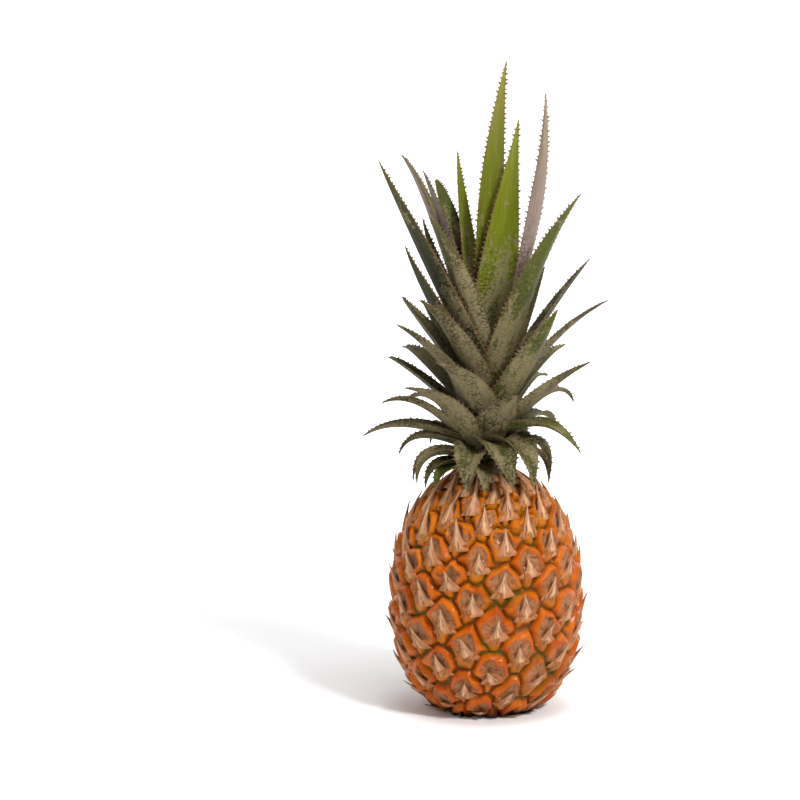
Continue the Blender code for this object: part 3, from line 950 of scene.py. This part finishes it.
@dataclass(frozen=True)
class Leaf:
    """A crown leaf by the places of its midline, in degrees and millimetres.

    root is (azimuth, height) on the stem; middle and tip are (azimuth, distance from the axis, height);
    width is the greatest width of the blade, turn is how far it twists from root to tip, and point is
    the share of its length that tapers to the tip.
    """

    root: tuple[float, float]
    middle: tuple[float, float, float]
    tip: tuple[float, float, float]
    width: float
    turn: float = 0.0
    point: float = 0.85
    tone: Tone = Tone.OLIVE


HEART_LEAVES = (
    Leaf((185, 200), (170, 9, 292), (138, 16, 372), 14, 0, 0.6, Tone.FRESH),
    Leaf((175, 195), (114, 9, 266), (118, 20, 339), 25, 0, 0.85, Tone.BRIGHT),
    Leaf((225, 192), (222, 19, 268), (223, 25, 320), 14, 0, 0.85, Tone.FRESH),
    Leaf((80, 195), (86, 26, 278), (88, 32, 355), 9, -100, 0.6, Tone.ROSY),
    Leaf((28, 182), (51, 32, 251), (61, 59, 300), 18, 0, 1.0, Tone.OLIVE),
    Leaf((100, 180), (98, 37, 229), (100, 60, 259), 14, 0, 0.85, Tone.DUSKY),
    Leaf((-34, 182), (-47, 29, 219), (-52, 50, 240), 17, 0, 0.85, Tone.GREY),
    Leaf((-60, 188), (-64, 34, 232), (-65, 52, 270), 18, 0, 0.85, Tone.MOSSY),
    Leaf((-64, 192), (-68, 40, 262), (-70, 66, 318), 22, 0, 0.85, Tone.MOSSY),
    Leaf((-100, 194), (-100, 32, 280), (-100, 50, 318), 20, 0, 0.85, Tone.ROSY),
    Leaf((-80, 198), (-85, 25, 274), (-85, 37, 310), 16, 0, 0.85, Tone.ROSY),
    Leaf((-137, 196), (-125, 26, 274), (-120, 34, 303), 18, 0, 0.85, Tone.SCURFY),
    Leaf((-28, 196), (-44, 26, 252), (-49, 45, 287), 16, 0, 0.85, Tone.SCURFY),
)
MIDDLE_LEAVES = (
    Leaf((78, 172), (80, 39, 214), (80, 70, 238), 15, 0, 0.85, Tone.DUSKY),
    Leaf((36, 166), (44, 36, 207), (45, 54, 236), 21, 0, 0.85, Tone.OLIVE),
    Leaf((66, 158), (69, 38, 187), (70, 62, 204), 21, 0, 0.85, Tone.GREY),
    Leaf((115, 156), (115, 40, 180), (115, 56, 173), 14, 0, 0.85, Tone.GREY),
    Leaf((-90, 153), (-94, 46, 163), (-95, 72, 156), 17, 0, 0.85, Tone.GREY),
    Leaf((-110, 165), (-110, 45, 192), (-110, 60, 200), 12, 0, 0.85, Tone.GREY),
    Leaf((-130, 168), (-125, 43, 197), (-125, 58, 204), 20, 0, 0.85, Tone.ROSY),
    Leaf((-70, 176), (-75, 34, 208), (-75, 54, 224), 18, 0, 0.85, Tone.GREY),
    Leaf((-110, 180), (-110, 37, 217), (-110, 52, 236), 18, 0, 0.85, Tone.GREY),
    Leaf((-28, 162), (-28, 30, 191), (-33, 55, 207), 25, 0, 0.85, Tone.SCURFY),
    Leaf((-50, 149), (-60, 31, 178), (-64, 53, 189), 24, 0, 0.85, Tone.SCURFY),
    Leaf((-78, 151), (-84, 38, 176), (-86, 61, 177), 15, 0, 0.85, Tone.GREY),
    Leaf((12, 152), (17, 26, 173), (20, 45, 188), 24, 0, 0.85, Tone.GREY),
)
LOWEST_LEAVES = (
    Leaf((50, 157), (58, 37, 167), (63, 59, 152), 17, 0, 0.85, Tone.OLIVE),
    Leaf((80, 150), (76, 32, 154), (75, 36, 131), 12, 0, 0.85, Tone.DUSKY),
    Leaf((105, 146), (105, 30, 147), (105, 37, 129), 12, 0, 0.85, Tone.DUSKY),
    Leaf((32, 154), (40, 30, 154), (40, 40, 132), 21, 0, 0.85, Tone.GREY),
    Leaf((6, 154), (15, 30, 153), (20, 41, 133), 23, 0, 0.85, Tone.GREY),
    Leaf((-26, 150), (-18, 32, 149), (-16, 43, 132), 22, 0, 0.85, Tone.GREY),
    Leaf((-5, 144), (-3, 28, 142), (-3, 36, 131), 15, 0, 0.85, Tone.GREY),
    Leaf((-66, 146), (-71, 34, 148), (-72, 42, 132), 15, 0, 0.85, Tone.DUSKY),
    Leaf((-98, 150), (-100, 38, 156), (-100, 51, 145), 15, 0, 0.85, Tone.OLIVE),
    Leaf((-48, 141), (-54, 29, 141), (-56, 36, 131), 14, 0, 0.85, Tone.OLIVE),
    Leaf((-60, 142), (-65, 31, 143), (-67, 38, 130), 12, 0, 0.85, Tone.GREY),
    Leaf((-84, 145), (-88, 34, 147), (-88, 42, 131), 13, 0, 0.85, Tone.DUSKY),
)


@dataclass(frozen=True)
class Stem:
    """The cone of the crown's stem, on which the leaves stand."""

    base: float = 134.3 * MM
    top: float = 204.0 * MM
    base_radius: float = 16.0 * MM
    top_radius: float = 6.5 * MM
    root_sunk: float = 4.0 * MM
    columns: int = 48
    rows: int = 30

    def root_radius(self, height: float) -> float:
        """Distance from the axis at which a leaf's midline starts."""
        share = (height - self.base) / (self.top - self.base)
        return mix(self.base_radius, self.top_radius, share) - self.root_sunk

    def surface(self) -> Surface:
        """A closed cone with a domed top: radius falls evenly, then as a quarter circle.

        Returns:
            The stem's surface.
        """
        share = np.linspace(0.0, 1.0, self.rows)[:, None]
        azimuth = np.linspace(-math.pi, math.pi, self.columns, endpoint=False)[None, :]
        radius = mix(self.base_radius, self.top_radius, share) * np.sqrt(1.0 - share ** 24.0 * 0.96)
        points = around(azimuth, radius, mix(self.base, self.top + 0.5 * self.top_radius, share))
        flat = points.reshape(-1, 3)
        poles = np.array(((0.0, 0.0, self.base), (0.0, 0.0, self.top + 0.52 * self.top_radius)))
        ring = np.arange(self.columns)
        triangles = np.concatenate(
            (fan_faces(ring[::-1], len(flat)), fan_faces(ring + len(flat) - self.columns, len(flat) + 1))
        )
        quads = sheet_faces(self.rows, self.columns, True)
        return Surface(np.concatenate((flat, poles)), quads, triangles, {})


@dataclass(frozen=True)
class Blade:
    """The fine surface of one leaf: a channelled section carried along a curved midline."""

    leaf: Leaf
    chance: float
    stem: Stem = Stem()
    stations: int = 64
    points_across: int = 9
    channel: float = 0.5
    middle_thickness: tuple[float, float] = (2.0 * MM, 0.9 * MM)
    edge_thickness: float = 0.35 * MM
    tip_power: float = 1.2
    tip_thickness: float = 0.3 * MM
    last_station: float = 0.996
    spine_spacing: float = 2.9 * MM
    spine_length: float = 1.9 * MM
    spine_base: float = 1.5 * MM
    spine_hook: float = 1.3 * MM
    spine_thickness: float = 0.55 * MM

    def ends(self) -> tuple[Array, Array, Array, Array]:
        """Places that steer the midline.

        Returns:
            Root, middle, bend and tip in metres.
        """
        leaf = self.leaf
        level = leaf.root[1] * MM
        root = around(math.radians(leaf.root[0]), self.stem.root_radius(level), level)
        middle = around(math.radians(leaf.middle[0]), leaf.middle[1] * MM, leaf.middle[2] * MM)
        tip = around(math.radians(leaf.tip[0]), leaf.tip[1] * MM, leaf.tip[2] * MM)
        return root, middle, 2.0 * middle - (root + tip) / 2.0, tip

    def length(self) -> float:
        """Length of the midline, by its two chords."""
        root, middle, _, tip = self.ends()
        return float(np.linalg.norm(middle - root) + np.linalg.norm(tip - middle))

    def midline(self, share: Array) -> Array:
        """Points of the quadratic curve (1-s)^2 root + 2 (1-s) s bend + s^2 tip.

        Args:
            share: Shares s of the way to the tip.

        Returns:
            The points.
        """
        root, _, bend, tip = self.ends()
        share = share[:, None]
        back = 1.0 - share
        return back * back * root + 2.0 * back * share * bend + share * share * tip

    def directions(self, share: Array) -> tuple[Array, Array, Array]:
        """Ways along the blade, across it and out of its inner face, twisted evenly by the leaf's turn.

        Args:
            share: Shares of the way to the tip.

        Returns:
            The three ways, each of length 1.
        """
        root, _, bend, tip = self.ends()
        share = share[:, None]
        along = unit(mix(bend, tip, share) - mix(root, bend, share))
        start = -around(math.radians(self.leaf.root[0]) + math.pi / 2, 1.0, 0.0)
        across = unit(start - along * (along @ start)[:, None])
        angle = math.radians(self.leaf.turn) * share
        across = across * np.cos(angle) + np.cross(along, across) * np.sin(angle)
        return along, across, np.cross(across, along)

    def half_width(self, share: Array) -> Array:
        """Half the width: sin(pi/2 min(1, (1-s)/point)) ^ power, and a little that closes at the tip."""
        taper = np.sin(0.5 * math.pi * np.minimum(1.0, (1.0 - share) / self.leaf.point)) ** self.tip_power
        return 0.5 * self.leaf.width * MM * taper + self.tip_thickness * smooth_step((1.0 - share) / 0.02)

    def surface(self) -> Surface:
        """The closed blade: the section's channel rises as 0.3 |t| + 0.7 t^2 to the margins.

        Returns:
            The blade's surface.
        """
        share = np.linspace(0.0, self.last_station, self.stations)
        along, across, inner = self.directions(share)
        half = self.half_width(share)
        sweep = np.linspace(-1.0, 1.0, self.points_across)
        sweep = np.sin(sweep * math.pi / 2)
        section = np.concatenate((sweep, sweep[::-1]))
        face = np.repeat((1.0, -1.0), self.points_across)
        middle = mix(self.middle_thickness[0], self.middle_thickness[1], share)
        fade = np.minimum(1.0, half / (2.0 * MM) + 0.15)
        thick = mix(middle[:, None], self.edge_thickness, section[None, :] ** 2) * fade[:, None]
        channel = 0.3 * np.abs(section) + 0.7 * section ** 2
        lift = self.channel * half[:, None] * channel[None, :] + 0.5 * face[None, :] * thick
        width = half[:, None] * section[None, :]
        points = self.midline(share)[:, None, :] + across[:, None, :] * width[..., None]
        points = points + inner[:, None, :] * lift[..., None]
        flat = points.reshape(-1, 3)
        root, _, _, tip = self.ends()
        size = 2 * self.points_across
        ring = np.arange(size)
        bottom = fan_faces(ring[::-1], len(flat))
        triangles = np.concatenate((bottom, fan_faces(ring + len(flat) - size, len(flat) + 1)))
        quads = sheet_faces(self.stations, size, True)
        shape = (self.stations, size)
        inner_tone, outer_tone, inner_scurf, outer_scurf, redness = self.leaf.tone.value
        colors = np.where(face[:, None] > 0.0, np.array(inner_tone), np.array(outer_tone))
        scurf = np.where(face > 0.0, inner_scurf, outer_scurf)
        values = {
            "across": np.broadcast_to(section[None, :], shape),
            "along": np.broadcast_to(share[:, None], shape),
            "reach": np.broadcast_to(share[:, None] * self.length() / MM, shape),
            "half": np.broadcast_to(half[:, None] / MM, shape),
            "scurf": np.broadcast_to(scurf[None, :], shape),
            "chance": np.full(shape, self.chance),
            "redness": np.full(shape, redness),
        }
        grown = {}
        for name, numbers in values.items():
            grown[name] = np.concatenate((numbers.ravel(), numbers[(0, -1), (0, -1)]))
        tones = np.broadcast_to(colors[None, :, :], (*shape, 4)).reshape(-1, 4)
        grown["tone"] = np.concatenate((tones, tones[:2]))
        return Surface(np.concatenate((flat, (root, tip))), quads, triangles, grown)

    def margin_place(self, share: Array, side: Array) -> tuple[Array, Array, Array]:
        """Points of the margins at shares of the length, and the ways outward and along there.

        Args:
            share: Shares of the way to the tip.
            side: 1 or -1 for either margin.

        Returns:
            The points and the two ways.
        """
        along, across, inner = self.directions(share)
        half = self.half_width(share)
        outward = unit(across * side[:, None] + inner * 0.9 * self.channel)
        place = self.midline(share) + across * (side * half)[:, None]
        place = place + inner * (self.channel * half)[:, None]
        return place, outward, along

    def spines(self, draw: Draw) -> Surface:
        """Hooked spines along both margins: three-sided, bent forward halfway out.

        Args:
            draw: Random numbers for their sizes.

        Returns:
            The spines as closed points, each sunk a little in the margin.
        """
        number = max(6, int(self.length() * 0.93 / self.spine_spacing))
        share = np.tile((np.arange(number) + 0.8) / (number + 0.9), 2)
        share = share * 0.985 + 0.01
        side = np.repeat((1.0, -1.0), number)
        share = share + draw.spread(-0.2, 0.2, 2 * number) / number
        place, outward, along = self.margin_place(share, side)
        room = np.clip(self.half_width(share) / (2.0 * MM) + 0.35, 0.4, 1.0)
        size = draw.spread(0.7, 1.15, 2 * number) * room
        size = (size * smooth_step(share / 0.12 + 0.2))[:, None]
        flat = np.cross(along, outward)
        base = 0.5 * self.spine_base * size
        thick = 0.5 * self.spine_thickness * size
        heel = place - outward * 0.35 * MM
        middle = place + outward * 0.45 * self.spine_length * size + along * 0.25 * self.spine_hook * size
        tip = place + outward * self.spine_length * size + along * self.spine_hook * size
        rings = []
        for centre, shrink in ((heel, 1.0), (middle, 0.55)):
            ahead = centre + along * base * shrink
            apart = flat * thick * shrink
            rings += [centre - along * base * shrink, ahead + apart, ahead - apart]
        points = np.stack(rings + [tip], axis=1)
        quads = np.array(((0, 1, 4, 3), (1, 2, 5, 4), (2, 0, 3, 5)))
        caps = np.array(((3, 4, 6), (4, 5, 6), (5, 3, 6), (0, 2, 1)))
        starts = np.arange(2 * number)[:, None, None] * points.shape[1]
        outness = np.tile(np.array((0.0, 0.0, 0.0, 0.5, 0.5, 0.5, 1.0)), 2 * number)
        quads = (quads[None] + starts).reshape(-1, 4)
        triangles = (caps[None] + starts).reshape(-1, 3)
        quads, triangles = outward_faces(points, quads, triangles, side)
        redness = np.full(len(outness), self.leaf.tone.value[4])
        return Surface(points.reshape(-1, 3), quads, triangles, {"outness": outness, "redness": redness})


def outward_faces(points: Array, quads: Array, triangles: Array, side: Array) -> tuple[Array, Array]:
    """Turns over the faces of the spines of one side, whose section runs the other way round.

    Args:
        points: Points by spine.
        quads: Four-sided faces, spine by spine.
        triangles: Three-sided faces, spine by spine.
        side: 1 or -1 for each spine.

    Returns:
        The faces, all pointing out.
    """
    first = points[0]
    centre = first.mean(axis=0)
    corner = first[quads[0]]
    normal = np.cross(corner[1] - corner[0], corner[2] - corner[0])
    inward = float(normal @ (corner.mean(axis=0) - centre)) < 0.0
    turned = (side > 0.0) == inward
    quad_turned = np.repeat(turned, len(quads) // len(side))[:, None]
    triangle_turned = np.repeat(turned, len(triangles) // len(side))[:, None]
    quads = np.where(quad_turned, quads[:, ::-1], quads)
    triangles = np.where(triangle_turned, triangles[:, ::-1], triangles)
    return quads, triangles


@dataclass(frozen=True)
class LeafFinish:
    """Tough green leaf under a broken coat of grey scurf, with a fine grain and a bronzed margin."""

    scurf: tuple = linear(137, 124, 91)
    crack: tuple = linear(30, 34, 10)
    margin: tuple = linear(96, 86, 56)
    red_margin: tuple = linear(142, 84, 40)
    tip: tuple = linear(160, 150, 80)
    foot: tuple = linear(110, 102, 66)

    def material(self) -> bpy.types.Material:
        """Builds the material from each point's place on its leaf and the leaf's own tone.

        Returns:
            The finished material.
        """
        mix_in = Recipe("leaf")
        across = mix_in.read("across")
        along = mix_in.read("along")
        reach = mix_in.read("reach")
        chance = mix_in.read("chance")
        redness = mix_in.read("redness")
        side = mix_in.times(across, mix_in.read("half"))
        grain = self.streaks(mix_in, side, reach, chance, (2.6, 0.06))
        broad = self.streaks(mix_in, side, reach, chance, (0.16, 0.045))
        mottle = self.streaks(mix_in, side, reach, chance, (0.45, 0.55))
        crackle_place = mix_in.spot(mix_in.times(side, 0.34), mix_in.times(reach, 0.62), chance)
        crackle = mix_in.cracks(mix_in.work_vector(crackle_place, mottle), 1.0)
        fine = mix_in.noise(mix_in.place(), 1400.0, 3.0, 0.7)
        color = mix_in.blend(mix_in.ramp(grain, 0.35, 0.7, 0.0, 0.4), mix_in.read_color("tone"), self.crack)
        color = mix_in.blend(mix_in.ramp(reach, 90.0, 190.0, 0.0, 0.6), color, self.tip)
        amount = mix_in.times(mix_in.read("scurf"), mix_in.ramp(reach, 25.0, 95.0, 1.3, -0.3))
        amount = mix_in.plus(amount, mix_in.work("MULTIPLY_ADD", broad, 4.0, -2.0))
        torn = mix_in.work("MULTIPLY_ADD", mottle, 2.6, -0.95)
        cover = mix_in.ramp(mix_in.work("SUBTRACT", amount, torn), -0.2, 0.35, 0.0, 0.92)
        cover = mix_in.times(cover, mix_in.ramp(grain, 0.25, 0.6, 0.7, 1.0))
        line = mix_in.ramp(crackle, 0.03, 0.1, 1.0, 0.0)
        zone = mix_in.times(mix_in.ramp(reach, 95.0, 60.0), mix_in.ramp(broad, 0.42, 0.58, 1.0, 0.25))
        line = mix_in.times(line, zone)
        cover = mix_in.times(cover, mix_in.work("SUBTRACT", 1.0, line))
        color = mix_in.blend(cover, color, self.scurf)
        color = mix_in.blend(mix_in.times(line, 0.75), color, self.crack)
        color = mix_in.blend(mix_in.ramp(along, 0.12, 0.0, 0.0, 0.6), color, self.foot)
        edge = mix_in.ramp(mix_in.size(across), 0.93, 0.99, 0.0, 0.6)
        color = mix_in.blend(edge, color, mix_in.blend(redness, self.margin, self.red_margin))
        roughness = mix_in.ramp(cover, 0.0, 0.8, 0.42, 0.75)
        height = mix_in.work("MULTIPLY_ADD", cover, 0.6, mix_in.plus(grain, mix_in.times(fine, 0.3)))
        mix_in.bump(height, 0.4 * MM)
        return mix_in.finish(color, roughness, specular_ior_level=0.22)

    def streaks(
        self, mix_in: Recipe, side: Value, reach: Value, chance: Value, scale: tuple[float, float]
    ) -> Socket:
        """Noise over the leaf, drawn out along it.

        Args:
            mix_in: The material being built.
            side: Millimetres across from the rib.
            reach: Millimetres along from the root.
            chance: The leaf's own place in the noise.
            scale: Ripples to a millimetre across and along.

        Returns:
            Noise of 0 to 1.
        """
        where = mix_in.spot(mix_in.times(side, scale[0]), mix_in.times(reach, scale[1]), chance)
        return mix_in.noise(where, 1.0, 4.0, 0.7)


@dataclass(frozen=True)
class SpineFinish:
    """Horny spines: red-brown on the fresh leaves and grey-brown on the scurfy ones."""

    foot: tuple = linear(108, 98, 64)
    red: tuple = linear(150, 76, 36)
    brown: tuple = linear(104, 88, 64)
    tip: tuple = linear(76, 42, 28)

    def material(self) -> bpy.types.Material:
        """Builds the material from each point's place on its spine and its leaf's redness.

        Returns:
            The finished material.
        """
        mix_in = Recipe("spine")
        out = mix_in.read("outness")
        body = mix_in.blend(mix_in.read("redness"), self.brown, self.red)
        color = mix_in.blend(mix_in.ramp(out, 0.0, 0.5), self.foot, body)
        color = mix_in.blend(mix_in.ramp(out, 0.5, 1.0, 0.0, 0.7), color, self.tip)
        return mix_in.finish(color, 0.5, specular_ior_level=0.35)


@dataclass(frozen=True)
class StemFinish:
    """Olive-brown stem, painted dark as shade, seen only between the leaves."""

    light: tuple = linear(96, 84, 44)
    dark: tuple = linear(38, 30, 14)

    def material(self) -> bpy.types.Material:
        """Builds the material: streaks that run up the stem.

        Returns:
            The finished material.
        """
        mix_in = Recipe("stem")
        streak = mix_in.noise(mix_in.place(), 260.0, 4.0)
        mix_in.bump(streak, 0.6 * MM)
        return mix_in.finish(mix_in.blend(mix_in.ramp(streak, 0.4, 0.6), self.dark, self.light), 0.8)


@dataclass(frozen=True)
class Crown:
    """The rosette: tiers of spiny leaves round a conical stem, its back filled by the golden section."""

    stem: Stem = Stem()
    leaf_finish: LeafFinish = LeafFinish()
    spine_finish: SpineFinish = SpineFinish()
    stem_finish: StemFinish = StemFinish()
    back_tiers: tuple = (
        (144, 32, 150, 39, 132, 14),
        (154, 41, 171, 60, 163, 16),
        (168, 37, 199, 57, 214, 18),
        (188, 28, 240, 46, 286, 19),
    )
    back_count: int = 22
    back_spread: float = 116.0
    back_step: float = 0.618034
    back_unevenness: float = 0.05
    back_seed: int = 15
    back_tones: tuple = (Tone.OLIVE, Tone.GREY, Tone.MOSSY, Tone.SCURFY, Tone.OLIVE)
    seed: int = 5

    def back_leaves(self) -> tuple[Leaf, ...]:
        """Leaves spread by the golden section and eased from tier to tier, a little unevenly.

        Returns:
            The leaves.
        """
        source = np.random.default_rng(self.back_seed)
        tiers = np.array(self.back_tiers, dtype=float)
        leaves = []
        for index in range(self.back_count):
            level = (index + 0.5) / self.back_count * (len(tiers) - 1)
            sizes = [float(np.interp(level, range(len(tiers)), column)) for column in tiers.T]
            uneven = 1.0 + source.uniform(-self.back_unevenness, self.back_unevenness, 2)
            azimuth = 180.0 + self.back_spread * ((index * self.back_step) % 1.0 - 0.5)
            root, middle_reach, middle_height, tip_reach, tip_height, width = sizes
            middle = (azimuth, middle_reach * uneven[0], middle_height)
            tip = (azimuth, tip_reach * uneven[1], tip_height)
            tone = self.back_tones[index % len(self.back_tones)]
            leaves.append(Leaf((azimuth, root), middle, tip, width, tone=tone))
        return tuple(leaves)

    def build(self) -> list[bpy.types.Object]:
        """Makes the stem, four groups of leaves and all the spines.

        Returns:
            The pieces.
        """
        draw = Draw(self.seed)
        groups = {
            "heart": HEART_LEAVES,
            "middle": MIDDLE_LEAVES,
            "lowest": LOWEST_LEAVES,
            "back": self.back_leaves(),
        }
        leaf_material = self.leaf_finish.material()
        pieces = [self.stem.surface().to_piece("crown_stem", self.stem_finish.material())]
        spines = []
        for name, leaves in groups.items():
            chances = draw.spread(0.0, 90.0, len(leaves))
            blades = [Blade(leaf, float(chance)) for leaf, chance in zip(leaves, chances)]
            surface = Surface.joined([blade.surface() for blade in blades])
            spines += [blade.spines(draw) for blade in blades]
            pieces.append(surface.to_piece(f"leaves_{name}", leaf_material))
        pieces.append(Surface.joined(spines).to_piece("spines", self.spine_finish.material()))
        return pieces


@dataclass(frozen=True)
class StalkFinish:
    """The dry cut face of the stalk, with darker fibres in it."""

    light: tuple = linear(120, 88, 58)
    dark: tuple = linear(46, 30, 20)

    def material(self) -> bpy.types.Material:
        """Builds the material: dots of fibre ends on a brown ground with darker stains.

        Returns:
            The finished material.
        """
        mix_in = Recipe("cut_stalk")
        place = mix_in.place()
        fibre = mix_in.noise(place, 1300.0, 2.0)
        stain = mix_in.noise(place, 120.0, 3.0)
        color = mix_in.blend(mix_in.ramp(fibre, 0.45, 0.6), self.dark, self.light)
        color = mix_in.blend(mix_in.ramp(stain, 0.4, 0.65, 0.0, 0.6), color, self.dark)
        mix_in.bump(fibre, 0.4 * MM)
        return mix_in.finish(color, 0.9, specular_ior_level=0.2)


@dataclass(frozen=True)
class Studio:
    """A pale floor, soft lights and the camera."""

    target: tuple[float, float, float] = (-0.0496, 0.0, 0.1787)
    distance: float = 1.8
    elevation: float = 9.0
    lens: float = 142.1
    floor_color: tuple = (0.93, 0.93, 0.93, 1.0)
    glow: float = 0.9
    world_strength: float = 0.24
    lights: tuple = (
        ("key", (0.8, -1.1, 1.3), 0.3, 27.0),
        ("top", (0.2, -0.3, 2.2), 1.0, 24.0),
        ("fill", (-1.3, -1.0, 0.7), 1.2, 4.0),
    )

    def camera(self) -> None:
        """Looks at the target from the front, a little above it."""
        angle = math.radians(self.elevation)
        data = bpy.data.cameras.new("camera")
        data.lens = self.lens
        data.sensor_width = 36.0
        camera = bpy.data.objects.new("camera", data)
        bpy.context.scene.collection.objects.link(camera)
        away = Vector((0.0, -math.cos(angle), math.sin(angle)))
        camera.location = Vector(self.target) + away * self.distance
        camera.rotation_euler = away.to_track_quat("Z", "Y").to_euler()
        bpy.context.scene.camera = camera

    def light(self, name: str, place: tuple, size: float, power: float) -> None:
        """Adds a square area light that faces the middle of the pineapple.

        Args:
            name: The light's name.
            place: Where it stands.
            size: Length of its sides in metres.
            power: Power in watts.
        """
        data = bpy.data.lights.new(name, "AREA")
        data.size = size
        data.energy = power
        lamp = bpy.data.objects.new(name, data)
        bpy.context.scene.collection.objects.link(lamp)
        lamp.location = place
        lamp.rotation_euler = (Vector(place) - Vector((0.0, 0.0, 0.17))).to_track_quat("Z", "Y").to_euler()

    def floor(self) -> bpy.types.Object:
        """A wide floor that curves up behind the pineapple: flat, then a quarter circle, then a wall.

        Returns:
            The floor.
        """
        depth = np.linspace(0.0, 1.0, 80)
        run = np.concatenate((np.linspace(-4.0, 2.0, 61), 2.0 + 2.0 * np.sin(depth * math.pi / 2), [4.0]))
        rise = np.concatenate((np.zeros(61), 2.0 - 2.0 * np.cos(depth * math.pi / 2), [8.0]))
        side = np.array((-6.0, 6.0))
        grid = np.broadcast_arrays(side[None, :], run[:, None], rise[:, None])
        points = np.stack(grid, axis=-1).reshape(-1, 3)
        recipe = Recipe("floor")
        recipe.set(recipe.shader.inputs["Emission Color"], (1.0, 1.0, 1.0, 1.0))
        recipe.set(recipe.shader.inputs["Emission Strength"], recipe.read("glow"))
        material = recipe.finish(self.floor_color, 0.9, specular_ior_level=0.1)
        glow = self.glow * smooth_step((points[:, 1] - 0.1) / 0.7)
        surface = Surface(points, sheet_faces(len(run), 2), np.zeros((0, 3), int), {"glow": glow})
        return surface.to_piece("floor", material)

    def build(self) -> None:
        """Sets the stage."""
        world = bpy.data.worlds.new("studio")
        world.use_nodes = True
        world.node_tree.nodes["Background"].inputs["Color"].default_value = (1.0, 1.0, 1.0, 1.0)
        world.node_tree.nodes["Background"].inputs["Strength"].default_value = self.world_strength
        bpy.context.scene.world = world
        bpy.context.scene.view_settings.view_transform = "Standard"
        self.floor()
        for name, place, size, power in self.lights:
            self.light(name, place, size, power)
        self.camera()


def main() -> None:
    """Builds the pineapple's pieces in order, rides them on its body and sets the stage."""
    logging.basicConfig(level=logging.INFO, format="%(name)s: %(message)s")
    rind = Rind().build()
    bracts = Bracts().build()
    leaves = Crown().build()
    for piece, slot in [(rind, "rind"), (bracts, "rind")] + [(leaf, "leaf") for leaf in leaves]:
        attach(piece, BODY)
        log.info("%s: %d faces", piece.name, len(piece.data.polygons))
    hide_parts("fruit")
    for leaf in leaves:
        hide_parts("crown")
    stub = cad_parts["stalk_stub"]
    stub.data.materials.clear()
    stub.data.materials.append(StalkFinish().material())
    log.info("%s: cut stalk dressed", stub.name)
    Studio().build()


if __name__ == "__main__":
    main()
